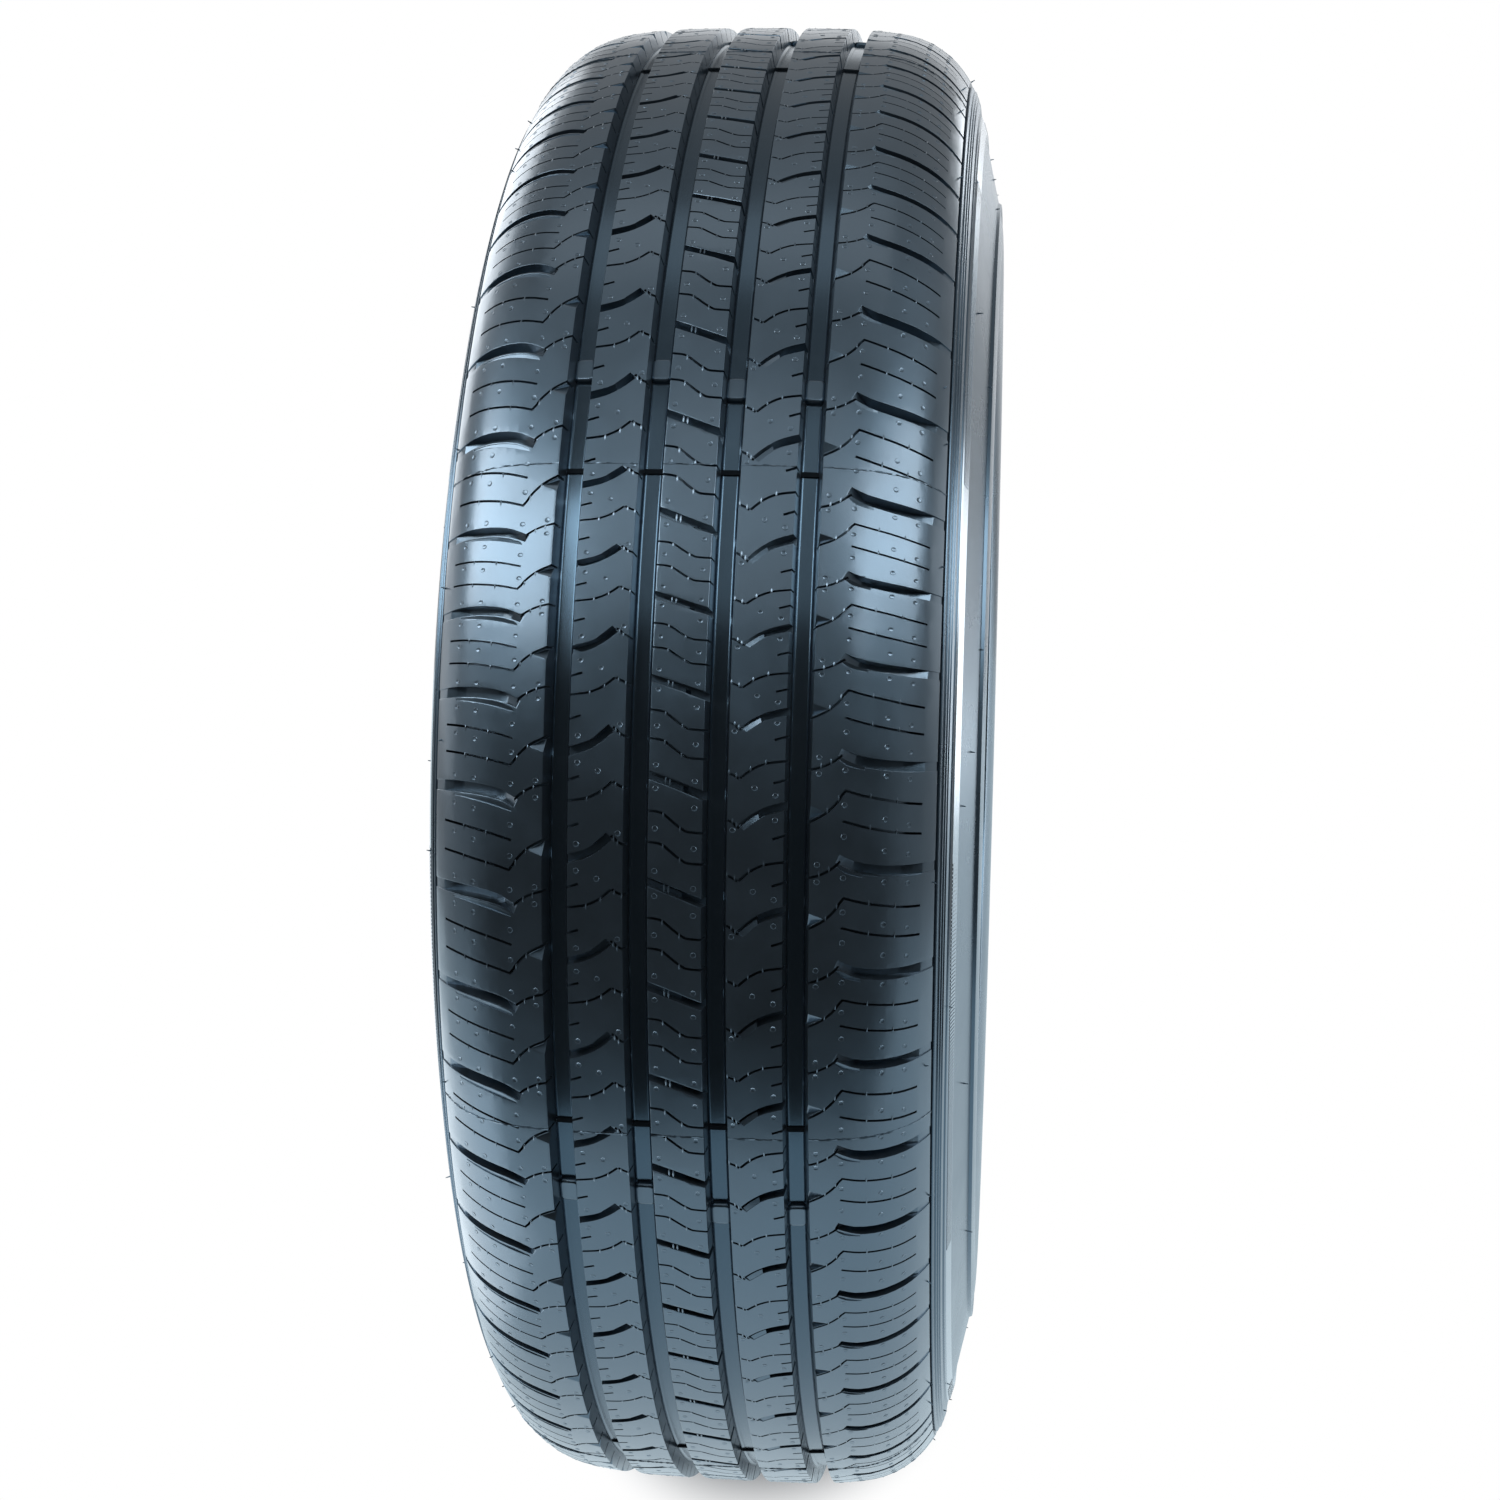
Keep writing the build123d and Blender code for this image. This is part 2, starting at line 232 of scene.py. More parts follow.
class SidewallSizes(bpy.types.PropertyGroup):
    """Raised bands, ridges and hairs of the sidewalls"""

    band_start: length("Band start", "Start of the straight sidewall to the raised band", 4.8)
    band_width: length("Band width", "Width of the raised band", 8.0)
    band_height: length("Band height", "Height of the raised band at its edge towards the tread", 0.5)
    band_low: length("Band low edge", "Height of the raised band at its other edge", 1.0)
    ridge_pitch: length("Ridge pitch", "Step from ridge to ridge on the band", 1.6)
    ridge_height: length("Ridge height", "Height of the ridges over the band", 0.2)
    ridge_stretches: bpy.props.IntProperty(
        name="Ridge stretches", description="Stretches of the band that carry ridges", default=6
    )
    ridge_share: bpy.props.FloatProperty(
        name="Ridge share",
        description="Share of the band that carries ridges",
        default=0.55,
        subtype="FACTOR",
    )
    ridge_turn: turn("First ridges", "Turn from the top to the first ridges", 22.0)
    hairs: bpy.props.IntProperty(name="Hairs", description="Moulding hairs on each side", default=60)
    hair_length: length("Hair length", "Longest moulding hair", 2.4)
    hair_width: length("Hair width", "Width of a hair at its foot", 0.8)


class TyreColours(bpy.types.PropertyGroup):
    """Colours of the rubber and the stage"""

    rubber: colour("Rubber", "Clean rubber", 0.010, 0.0125, 0.015)
    bloom: colour("Bloom", "Dull patches on the rubber", 0.017, 0.021, 0.025)
    gloss: colour("Gloss", "Tint of the reflections on the rubber", 0.45, 0.74, 1.0)
    floor: colour("Floor", "Pale studio floor", 0.90, 0.93, 0.96)
    sheen: colour("Sheen", "The pale floor as the rubber mirrors it", 0.78, 0.92, 1.0)
    lamp: colour("Lamp", "Light of the lamps", 0.94, 0.97, 1.0)


class StageSizes(bpy.types.PropertyGroup):
    """Camera of the stage"""

    azimuth: turn("Azimuth", "Camera round the tyre", 95.743)
    elevation: turn("Elevation", "Camera above the axle", 15.341)
    distance: length("Distance", "Camera to the middle of the tyre", 1294.2)
    lens: bpy.props.FloatProperty(name="Lens", description="Focal length in millimetres", default=59.83)
    shift_x: bpy.props.FloatProperty(name="Shift X", description="Shift of the picture", default=-0.0131)
    shift_y: bpy.props.FloatProperty(name="Shift Y", description="Shift of the picture", default=0.0029)


class SectionLine:
    """The outer section from the middle of the crown, walked by length: tangent arcs, a straight wall."""

    def __init__(self, sizes):
        crown_turn = math.asin(sizes.crown_half_width / sizes.crown_radius)
        shoulder_turn = sizes.buttress_slope - crown_turn - sizes.crown_edge_turn
        self.top = sizes.overall_radius
        self.stretches = [
            (sizes.crown_radius * crown_turn, 1 / sizes.crown_radius),
            (sizes.crown_edge_radius * sizes.crown_edge_turn, 1 / sizes.crown_edge_radius),
            (sizes.shoulder_radius * shoulder_turn, 1 / sizes.shoulder_radius),
            (sizes.buttress_length, 0.0),
        ]
        drop = self.at(self.end())[1] - sizes.bead_radius - sizes.heel_radius
        spread = sizes.flank_radius * math.cos(sizes.buttress_slope) - drop
        heel_slope = math.acos(spread / (sizes.flank_radius - sizes.heel_radius))
        self.wall_start = self.end() - sizes.buttress_length
        self.flank_start = self.end()
        flank_turn = heel_slope - sizes.buttress_slope
        self.stretches.append((sizes.flank_radius * flank_turn, 1 / sizes.flank_radius))
        self.heel_start = self.end()
        self.stretches.append((sizes.heel_radius * (math.pi - heel_slope), 1 / sizes.heel_radius))

    def end(self):
        """Length of the whole line."""
        return sum(stretch for stretch, _ in self.stretches)

    def at(self, along):
        """Distance across, radius and slope at a length along the line, the left half being negative."""
        across, radius, slope, left = 0.0, self.top, 0.0, abs(along)
        for stretch, bend in self.stretches:
            step = min(left, stretch)
            next_slope = slope + step * bend
            if bend:
                across += (math.sin(next_slope) - math.sin(slope)) / bend
                radius -= (math.cos(slope) - math.cos(next_slope)) / bend
            else:
                across += step * math.cos(slope)
                radius -= step * math.sin(slope)
            slope = next_slope
            left -= step
        return math.copysign(across, along), radius, math.copysign(slope, along)

    def reach(self, across):
        """Length along the line at a distance across, on the tread and shoulders."""
        start, slope, along = 0.0, 0.0, 0.0
        for stretch, bend in self.stretches:
            next_slope = slope + stretch * bend
            width = (math.sin(next_slope) - math.sin(slope)) / bend
            if abs(across) <= start + width:
                angle = math.asin(math.sin(slope) + (abs(across) - start) * bend)
                return math.copysign(along + (angle - slope) / bend, across)
            start, slope, along = start + width, next_slope, along + stretch
        raise ValueError("a place lies beyond the shoulder")

    def raised(self, along, height):
        """Distance across and radius of a point at a height over the line."""
        across, radius, slope = self.at(along)
        return across + height * math.sin(slope), radius + height * math.cos(slope)


class PitchRow:
    """Turns about the axle of the places in the row of pitches around the tyre."""

    def __init__(self, sizes):
        kinds = {
            "T": sizes.tiny_pitch,
            "S": sizes.short_pitch,
            "M": sizes.middle_pitch,
            "L": sizes.long_pitch,
        }
        around = sum(kinds[kind] for kind in PITCH_ORDER)
        self.starts = [sizes.first_pitch]
        for kind in PITCH_ORDER:
            self.starts.append(self.starts[-1] + math.tau * kinds[kind] / around)

    def turn(self, place):
        """Turn of a place counted in pitches."""
        lap, place = divmod(place, len(PITCH_ORDER))
        number = min(int(place), len(PITCH_ORDER) - 1)
        step = self.starts[number + 1] - self.starts[number]
        return lap * math.tau + self.starts[number] + (place - number) * step


def around_axle(turn_angle, across, radius):
    """Point at a turn about the axle from the top."""
    return Vector((radius * math.sin(turn_angle), across, radius * math.cos(turn_angle)))


def curve_through(points, steps):
    """Points at even steps on a smooth curve through the given ones."""
    knots = [Vector(point) for point in [points[0], *points, points[-1]]]
    spans = len(points) - 1
    curve = []
    for number in range(steps + 1):
        place = number * spans / steps
        span = min(int(place), spans - 1)
        part = place - span
        before, start, end, after = knots[span : span + 4]
        bend = before * 2 - start * 5 + end * 4 - after
        twist = start * 3 - before - end * 3 + after
        curve.append((start * 2 + (end - before) * part + bend * part**2 + twist * part**3) / 2)
    return curve


def along_paths(paths):
    """Places a third and two thirds of the way along the paths."""
    steps = 12
    curves = [curve_through(path, steps) for path in paths]
    return [curve[place] for curve in curves for place in (steps // 3, 2 * steps // 3)]


def grooves(tread):
    """The inner and the outer groove of one side."""
    pair = []
    for middle, width in (
        (tread.inner_groove, tread.inner_groove_width),
        (tread.outer_groove, tread.outer_groove_width),
    ):
        spread = (width - tread.groove_floor) / 2 / tread.groove_depth
        pair.append(Groove(middle, middle - width / 2, middle + width / 2, spread))
    return pair


def wire(shape, points):
    """The corners and the edges of an open line through the points."""
    corners = [shape.verts.new(point) for point in points]
    return corners, [shape.edges.new(pair) for pair in zip(corners, corners[1:])]


def new_verts(result):
    """The vertices that an extrusion made."""
    return [item for item in result["geom"] if isinstance(item, bmesh.types.BMVert)]


def everything(shape):
    """All vertices, edges and faces of a shape."""
    return shape.verts[:] + shape.edges[:] + shape.faces[:]


def round_edges(shape, edges, amount, steps):
    """Rounds some edges of a shape."""
    bmesh.ops.bevel(
        shape,
        geom=edges,
        offset=amount,
        affect="EDGES",
        segments=steps,
        profile=0.5,
        material=-1,
        clamp_overlap=True,
    )


def small_block(long, wide, bottom, top):
    """A block in flat places, from its bottom to its top height."""
    block = bmesh.new()
    bmesh.ops.create_cube(block, size=1.0)
    bmesh.ops.scale(block, verts=block.verts, vec=(long, wide, top - bottom))
    bmesh.ops.translate(block, verts=block.verts, vec=(0, 0, (bottom + top) / 2))
    return block


def copies(template, count):
    """One shape with several copies of a template, which is freed."""
    mesh = bpy.data.meshes.new("template")
    template.to_mesh(mesh)
    template.free()
    whole = bmesh.new()
    for _ in range(count):
        whole.from_mesh(mesh)
    bpy.data.meshes.remove(mesh)
    whole.verts.ensure_lookup_table()
    return whole


def lay_out(section, template, places):
    """Copies of a small flat shape on the tyre, each at its turn and its reach along the section."""
    corners = [vert.co.copy() for vert in template.verts]
    whole = copies(template, len(places))
    for number, (turn_angle, reach) in enumerate(places):
        for index, corner in enumerate(corners):
            across, radius = section.raised(reach + corner.y, corner.z)
            vert = whole.verts[number * len(corners) + index]
            vert.co = around_axle(turn_angle + corner.x / radius, across, radius)
    return whole


def join(shape, part):
    """Adds a part to the shape, and frees it."""
    mesh = bpy.data.meshes.new("part")
    part.to_mesh(mesh)
    part.free()
    shape.from_mesh(mesh)
    bpy.data.meshes.remove(mesh)


def shade(shape, limit):
    """Smooth shading, with edges sharper than the limit kept."""
    for face in shape.faces:
        face.smooth = True
    for edge in shape.edges:
        edge.smooth = edge.calc_face_angle(0.0) < math.radians(limit)


def new_object(name, shape):
    """An object of the scene at the origin, with the shape as its mesh."""
    mesh = bpy.data.meshes.new(name)
    shape.to_mesh(mesh)
    holder = bpy.data.objects.new(name, mesh)
    bpy.context.scene.collection.objects.link(holder)
    return holder


def add_piece(name, shape, *materials, whole=True):
    """A finished piece from its bmesh: rides on the tyre, takes its finish and, when whole, stands for the
    tyre's solid, which it hides.
    """
    piece = new_object(name, shape)
    shape.free()
    for material in materials:
        piece.data.materials.append(material)
    even = piece.modifiers.new("even_normals", "WEIGHTED_NORMAL")
    even.weight = 100
    even.keep_sharp = True
    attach(piece, "root")
    if whole:
        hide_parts("tyre")


class TreadCell:
    """One pitch of one rib, laid flat: X along the tread, Y along the section, Z over the surface."""

    # Depth of the rib, and how far the cutting tools stand over it
    BASE = 9.0 * MM
    CLEAR = 1.5 * MM

    # Gaps that count as none, in the cell and where cells meet
    NEAR = 1e-6
    SEAM = 0.02 * MM

    SLICES = 8
    SIPE_STEPS = 3
    ROUND_STEPS = 2
    VENT_SIDES = 8

    # Radians: faces under the first count as flat, and edges over the second are rounded
    FLAT_ANGLE = 0.02
    RIM_ANGLE = 0.2

    # Shares of a tie's width, then of a vent mark's radius twice and of its height
    TIE_SINK = 1 / 6
    VENT_TOP = 0.8
    VENT_LIP = 0.3
    VENT_DISH = 0.7

    def __init__(self, context, start):
        self.section = SectionLine(context.scene.tyre_section)
        self.sizes = context.scene.tyre_tread
        self.start = start * MM
        self.end = self.start + self.sizes.long_pitch
        self.solid = bmesh.new()

    def flat(self, place, height):
        """A place of the pattern as a point of the flat cell."""
        return Vector((place[1] * MM, self.section.reach(place[0] * MM), height))

    def block(self, low, high, low_spread, high_spread):
        """The plain rib between two edges, its walls spreading towards its base."""
        bmesh.ops.create_cube(self.solid, size=2.0)
        for vert in self.solid.verts:
            edge, spread = (low, -low_spread) if vert.co.y < 0 else (high, high_spread)
            at_base = vert.co.z < 0
            vert.co.x = self.start if vert.co.x < 0 else self.end
            vert.co.y = edge + spread * self.BASE if at_base else edge
            vert.co.z = -self.BASE if at_base else 0.0

    def carve(self, tool):
        """Cuts the tool's volume out of the cell, and frees the tool."""
        bmesh.ops.recalc_face_normals(tool, faces=tool.faces)
        holders = [new_object("cell", self.solid), new_object("tool", tool)]
        tool.free()
        cut = holders[0].modifiers.new("carve", "BOOLEAN")
        cut.operation = "DIFFERENCE"
        cut.solver = "EXACT"
        cut.object = holders[1]
        bpy.context.view_layer.update()
        carved = holders[0].evaluated_get(bpy.context.evaluated_depsgraph_get()).to_mesh()
        self.solid.clear()
        self.solid.from_mesh(carved)
        for holder in holders:
            mesh = holder.data
            bpy.data.objects.remove(holder)
            bpy.data.meshes.remove(mesh)

    def slot(self, upper, lower, steps):
        """Carves a slot between two edges that carry their own depths."""
        tool = bmesh.new()
        rows = [curve_through(edge, steps) for edge in (upper, lower)]
        corners, line = wire(tool, [self.flat(place, self.CLEAR) for place in rows[0]])
        partner = {corner.co.copy().freeze(): place for corner, place in zip(corners, rows[1])}
        depth = {corner.co.copy().freeze(): place[2] * MM for corner, place in zip(corners, rows[0])}
        for vert in new_verts(bmesh.ops.extrude_edge_only(tool, edges=line)):
            place = partner[vert.co.copy().freeze()]
            vert.co = self.flat(place, self.CLEAR)
            depth[vert.co.copy().freeze()] = place[2] * MM
        for vert in new_verts(bmesh.ops.extrude_face_region(tool, geom=tool.faces[:])):
            vert.co.z = -depth[vert.co.copy().freeze()]
        bmesh.ops.triangulate(tool, faces=tool.faces)
        self.carve(tool)

    def sipes(self, paths):
        """Carves thin cuts of even width along the paths."""
        for path in paths:
            tool = bmesh.new()
            places = curve_through(path, self.SIPE_STEPS * (len(path) - 1)) if len(path) > 2 else path
            line = wire(tool, [self.flat(place, self.CLEAR) for place in places])[1]
            for vert in new_verts(bmesh.ops.extrude_edge_only(tool, edges=line)):
                vert.co.z = -self.sizes.sipe_depth
            tool.normal_update()
            bmesh.ops.solidify(tool, geom=tool.faces[:], thickness=self.sizes.sipe_width)
            self.carve(tool)

    def round_top(self):
        """Rounds the edges where the tread surface meets grooves and slots."""
        every = {"verts": self.solid.verts, "edges": self.solid.edges}
        bmesh.ops.dissolve_limit(self.solid, angle_limit=self.FLAT_ANGLE, **every)
        rim = []
        for edge in self.solid.edges:
            at_top = all(vert.co.z > -self.NEAR for vert in edge.verts)
            inside = any(self.start + self.NEAR < vert.co.x < self.end - self.NEAR for vert in edge.verts)
            lengthwise = abs(edge.verts[0].co.x - edge.verts[1].co.x) > self.NEAR
            if at_top and (inside or lengthwise) and edge.calc_face_angle(0.0) > self.RIM_ANGLE:
                rim.append(edge)
        round_edges(self.solid, rim, self.sizes.edge_round, self.ROUND_STEPS)

    def ties(self, places, long):
        """Small round ties that bridge the cuts at the given places."""
        size = Matrix.Diagonal((long, self.sizes.tie_width, self.sizes.tie_width, 1.0))
        for place in places:
            spot = Matrix.Translation(self.flat(place, -self.TIE_SINK * self.sizes.tie_width))
            bmesh.ops.create_icosphere(self.solid, subdivisions=1, radius=0.5, matrix=spot @ size)

    def vents(self, places):
        """Low dished marks that the vents of the mould leave."""
        radius, height = self.sizes.vent_size / 2, self.sizes.vent_height
        lip, dish = self.VENT_LIP * radius, self.VENT_DISH * height
        for place in places:
            mark = bmesh.ops.create_cone(
                self.solid,
                cap_ends=True,
                segments=self.VENT_SIDES,
                radius1=radius,
                radius2=self.VENT_TOP * radius,
                depth=2 * height,
                matrix=Matrix.Translation(self.flat(place, 0.0)),
            )
            faces = {face for vert in mark["verts"] for face in vert.link_faces}
            top = max(faces, key=lambda face: face.calc_center_median().z)
            bmesh.ops.inset_individual(self.solid, faces=[top], thickness=lip, depth=-dish)

    def slice(self, reaches):
        """Cuts the faces into bands, so that the cell can follow the round tyre, and opens its two ends."""
        long = self.end - self.start
        planes = []
        for number in range(1, self.SLICES):
            planes.append(((self.start + long * number / self.SLICES, 0, 0), (1, 0, 0)))
        planes += [((0, reach * MM, 0), (0, 1, 0)) for reach in reaches]
        for place, normal in planes:
            cell = everything(self.solid)
            bmesh.ops.bisect_plane(self.solid, geom=cell, dist=self.NEAR, plane_co=place, plane_no=normal)
        ends = []
        for face in self.solid.faces:
            for end in (self.start, self.end):
                if all(abs(vert.co.x - end) < self.NEAR for vert in face.verts):
                    ends.append(face)
        bmesh.ops.delete(self.solid, geom=ends, context="FACES_ONLY")

    def ring(self, context, right_side, lead=0.0):
        """The cell repeated around the tyre, and turned half round for the right side."""
        pitches = PitchRow(self.sizes)
        around = context.scene.tyre_section.overall_radius
        shift = (self.sizes.right_shift + lead) / around if right_side else -lead / around
        places = []
        for vert in self.solid.verts:
            across, radius = self.section.raised(vert.co.y, vert.co.z)
            places.append((vert.co.x / self.sizes.long_pitch, across, radius))
        whole = copies(self.solid, len(PITCH_ORDER))
        for number in range(len(PITCH_ORDER)):
            for index, (along, across, radius) in enumerate(places):
                vert = whole.verts[number * len(places) + index]
                if right_side:
                    vert.co = around_axle(pitches.turn(number + 1 - along) + shift, -across, radius)
                else:
                    vert.co = around_axle(pitches.turn(number + along) + shift, across, radius)
        seam = [vert for vert in whole.verts if vert.is_boundary]
        bmesh.ops.remove_doubles(whole, verts=seam, dist=self.SEAM)
        bmesh.ops.triangulate(whole, faces=[face for face in whole.faces if len(face.verts) > 4])
        return whole


def rubber_group():
    """Node group with the colour, roughness and height of moulded rubber."""
    name = "moulded_rubber"
    if name in bpy.data.node_groups:
        return bpy.data.node_groups[name]
    group = bpy.data.node_groups.new(name, "ShaderNodeTree")
    face = group.interface
    face.new_socket("Clean", in_out="INPUT", socket_type="NodeSocketColor")
    face.new_socket("Bloom", in_out="INPUT", socket_type="NodeSocketColor")
    for label in ("Gloss", "Dullness", "Patch Scale", "Grain Scale"):
        face.new_socket(label, in_out="INPUT", socket_type="NodeSocketFloat")
    face.new_socket("Color", in_out="OUTPUT", socket_type="NodeSocketColor")
    face.new_socket("Roughness", in_out="OUTPUT", socket_type="NodeSocketFloat")
    face.new_socket("Height", in_out="OUTPUT", socket_type="NodeSocketFloat")
    nodes, links = group.nodes, group.links
    given = nodes.new("NodeGroupInput")
    result = nodes.new("NodeGroupOutput")
    place = nodes.new("ShaderNodeTexCoord")
    patches = nodes.new("ShaderNodeTexNoise")
    patches.inputs["Detail"].default_value = 6.0
    patches.inputs["Roughness"].default_value = 0.62
    spread = nodes.new("ShaderNodeMapRange")
    spread.inputs["From Min"].default_value = 0.38
    spread.inputs["From Max"].default_value = 0.68
    grain = nodes.new("ShaderNodeTexNoise")
    grain.inputs["Detail"].default_value = 3.0
    tint = nodes.new("ShaderNodeMix")
    tint.data_type = "RGBA"
    dull = nodes.new("ShaderNodeMath")
    dull.operation = "MULTIPLY_ADD"
    links.new(place.outputs["Object"], patches.inputs["Vector"])
    links.new(place.outputs["Object"], grain.inputs["Vector"])
    links.new(given.outputs["Patch Scale"], patches.inputs["Scale"])
    links.new(given.outputs["Grain Scale"], grain.inputs["Scale"])
    links.new(patches.outputs["Fac"], spread.inputs["Value"])
    links.new(spread.outputs["Result"], tint.inputs["Factor"])
    links.new(given.outputs["Clean"], tint.inputs["A"])
    links.new(given.outputs["Bloom"], tint.inputs["B"])
    links.new(spread.outputs["Result"], dull.inputs[0])
    links.new(given.outputs["Dullness"], dull.inputs[1])
    links.new(given.outputs["Gloss"], dull.inputs[2])
    links.new(tint.outputs["Result"], result.inputs["Color"])
    links.new(dull.outputs["Value"], result.inputs["Roughness"])
    links.new(grain.outputs["Fac"], result.inputs["Height"])
    return group


def rubber_material(
    context, name, gloss, dullness, patch_scale, grain_depth, index, coat, coat_index=1.5
):
    """Blue-black rubber of one finish."""
    if name in bpy.data.materials:
        return bpy.data.materials[name]
    colours = context.scene.tyre_colours
    material = bpy.data.materials.new(name)
    material.use_nodes = True
    nodes, links = material.node_tree.nodes, material.node_tree.links
    shader = nodes["Principled BSDF"]
    surface = nodes.new("ShaderNodeGroup")
    surface.node_tree = rubber_group()
    surface.inputs["Clean"].default_value = (*colours.rubber, 1.0)
    surface.inputs["Bloom"].default_value = (*colours.bloom, 1.0)
    surface.inputs["Gloss"].default_value = gloss
    surface.inputs["Dullness"].default_value = dullness
    surface.inputs["Patch Scale"].default_value = patch_scale
    surface.inputs["Grain Scale"].default_value = 1500.0
    bump = nodes.new("ShaderNodeBump")
    bump.inputs["Strength"].default_value = 0.35
    bump.inputs["Distance"].default_value = grain_depth
    shader.inputs["IOR"].default_value = index
    shader.inputs["Coat Weight"].default_value = coat
    shader.inputs["Coat Roughness"].default_value = 0.22
    shader.inputs["Coat IOR"].default_value = coat_index
    shader.inputs["Specular Tint"].default_value = (*colours.gloss, 1.0)
    links.new(surface.outputs["Color"], shader.inputs["Base Color"])
    links.new(surface.outputs["Roughness"], shader.inputs["Roughness"])
    links.new(surface.outputs["Height"], bump.inputs["Height"])
    links.new(bump.outputs["Normal"], shader.inputs["Normal"])
    return material


def tread_rubber(context):
    """Satin rubber of the tread."""
    return rubber_material(
        context,
        "tread_rubber",
        gloss=0.28,
        dullness=0.11,
        patch_scale=16.0,
        grain_depth=0.08 * MM,
        index=2.3,
        coat=1.0,
    )


def sidewall_rubber(context):
    """Rubber of the sidewalls, beads and liner."""
    return rubber_material(
        context,
        "sidewall_rubber",
        gloss=0.24,
        dullness=0.10,
        patch_scale=9.0,
        grain_depth=0.06 * MM,
        index=2.3,
        coat=0.3,
    )


def groove_rubber(context):
    """Smooth rubber of the groove floors."""
    return rubber_material(
        context,
        "groove_rubber",
        gloss=0.16,
        dullness=0.06,
        patch_scale=12.0,
        grain_depth=0.03 * MM,
        index=2.1,
        coat=0.1,
    )


def band_rubber(context):
    """Shiny rubber of the raised bands on the sidewalls."""
    return rubber_material(
        context,
        "band_rubber",
        gloss=0.20,
        dullness=0.05,
        patch_scale=9.0,
        grain_depth=0.03 * MM,
        index=2.6,
        coat=1.0,
        coat_index=3.0,
    )


def flash_and_painted_shade_rubber(context):
    """Rough matt rubber where the mould's sectors met on the groove floors; low index and no coat keep its
    reflections faint, so it reads black as painted shade of the joint step.
    """
    return rubber_material(
        context,
        "flash_and_painted_shade_rubber",
        gloss=0.85,
        dullness=0.10,
        patch_scale=40.0,
        grain_depth=0.2 * MM,
        # Low index and no coat: the flash reflects little and reads black, painted shade of the joint step
        index=1.2,
        coat=0.0,
    )


class TYRE_OT_casing(bpy.types.Operator):
    """Groove floors, sidewalls, beads and the inside, turned about the axle"""

    bl_idname = "tyre.casing"
    bl_label = "Casing"

    AROUND = 288
    CREASE = 24
    MERGE = 0.01 * MM

    # Numbers of its materials
    SIDEWALL = 0
    GROOVES = 1
    BANDS = 2

    # Steps of its round stretches, and how much of the flank lies above the rim rib
    FILLET_STEPS = 5
    FLANK_STEPS = 16
    RIM_STEPS = 5
    HEEL_STEPS = 8
    LINER_STEPS = (6, 14, 3, 10)
    RIM_SHARE = 0.72

    # Moulded forms in millimetres: along the section from where they start, then height over it
    BED_LAP = 0.5
    BED_ENDS = (-12.0, -4.0)
    EDGE_CUT = [(-1.9, -2.4), (0.4, -2.4), (0.8, -0.3), (1.2, 0.0)]
    FINE_RIBS = (3.2, 5.6, 8.0)
    FINE_RIB = [(0.0, 0.0), (0.3, 0.45), (0.9, 0.45), (1.2, 0.0)]
    WALL_LINE = [(1.2, 0.0), (2.5, -1.3), (3.8, 0.0)]
    BAND_SIDE = 0.6
    WALL_RIB = [(32.0, 0.0), (45.6, 0.0), (46.6, 1.2), (47.4, 1.2), (48.4, 0.0)]
    RIM_RIB = [(1.0, 1.3), (2.0, 1.3), (3.2, 0.0)]

    def execute(self, context):
        sizes = context.scene.tyre_section
        band = context.scene.tyre_sidewall
        section = SectionLine(sizes)
        outline = self.tread_line(section, context.scene.tyre_tread, sizes.edge_line)
        outline += self.sidewall_line(section, band, sizes.edge_line)
        outline += self.inside_line(sizes)
        shape = bmesh.new()
        corners, line = wire(shape, [(0.0, across, radius) for across, radius in outline])
        bmesh.ops.spin(
            shape,
            geom=corners + line,
            axis=(0, 1, 0),
            cent=(0, 0, 0),
            angle=math.tau,
            steps=self.AROUND,
            use_merge=True,
        )
        bmesh.ops.mirror(shape, geom=everything(shape), axis="Y", merge_dist=self.MERGE)
        bmesh.ops.remove_doubles(shape, verts=shape.verts, dist=self.MERGE)
        bmesh.ops.recalc_face_normals(shape, faces=shape.faces)
        shade(shape, self.CREASE)
        band_start = section.wall_start + band.band_start
        high = section.at(band_start)[1]
        low = section.at(band_start + band.band_width)[1]
        for face in shape.faces:
            face.material_index = self.finish_of(face, sizes, low, high)
        add_piece("casing", shape, sidewall_rubber(context), groove_rubber(context), band_rubber(context))
        return {"FINISHED"}

    def finish_of(self, face, sizes, band_low, band_high):
        """Which of the casing's materials a face takes."""
        middle = face.calc_center_median()
        radius = middle.xz.length
        outside = face.normal.y * middle.y > 0 and abs(middle.y) > sizes.bead_toe
        if outside and band_low < radius < band_high:
            return self.BANDS
        faces_out = face.normal.dot(Vector((middle.x, 0, middle.z))) > 0
        if faces_out and abs(middle.y) < sizes.edge_line and radius > self.bed_radius(sizes):
            return self.GROOVES
        return self.SIDEWALL

    def bed_radius(self, sizes):
        """Radius of the liner under the crown, which lies inside the groove floors."""
        return sizes.overall_radius - sizes.casing_thickness

    def form(self, start, places):
        """A moulded form, in metres along the section."""
        return [(start + along * MM, height * MM) for along, height in places]

    def plain(self, start, reach, steps):
        """Even steps along a plain stretch of the section, after its start."""
        return [(start + reach * number / steps, 0.0) for number in range(1, steps + 1)]

    def tread_line(self, section, tread, edge):
        """Groove floors and the bed under the ribs, from the mid-plane to the line at the tread edge."""
        fillet = tread.groove_fillet
        bed = -(tread.groove_depth - fillet)
        half = tread.groove_floor / 2
        line = [(0.0, bed)]
        for groove in grooves(tread):
            foot = half + groove.spread * fillet
            inward = foot - half + fillet
            steps = [(foot + self.BED_LAP * MM, bed)]
            for number in range(self.FILLET_STEPS + 1):
                bend = math.pi / 2 * number / self.FILLET_STEPS
                steps.append((foot - inward * (1 - math.cos(bend)), bed - fillet * math.sin(bend)))
            reach = section.reach(groove.middle)
            line += [(reach - out, height) for out, height in steps]
            line += [(reach + out, height) for out, height in reversed(steps)]
        line += [(edge + end * MM, bed) for end in self.BED_ENDS]
        line += self.form(edge, self.EDGE_CUT)
        return [section.raised(along, height) for along, height in line]

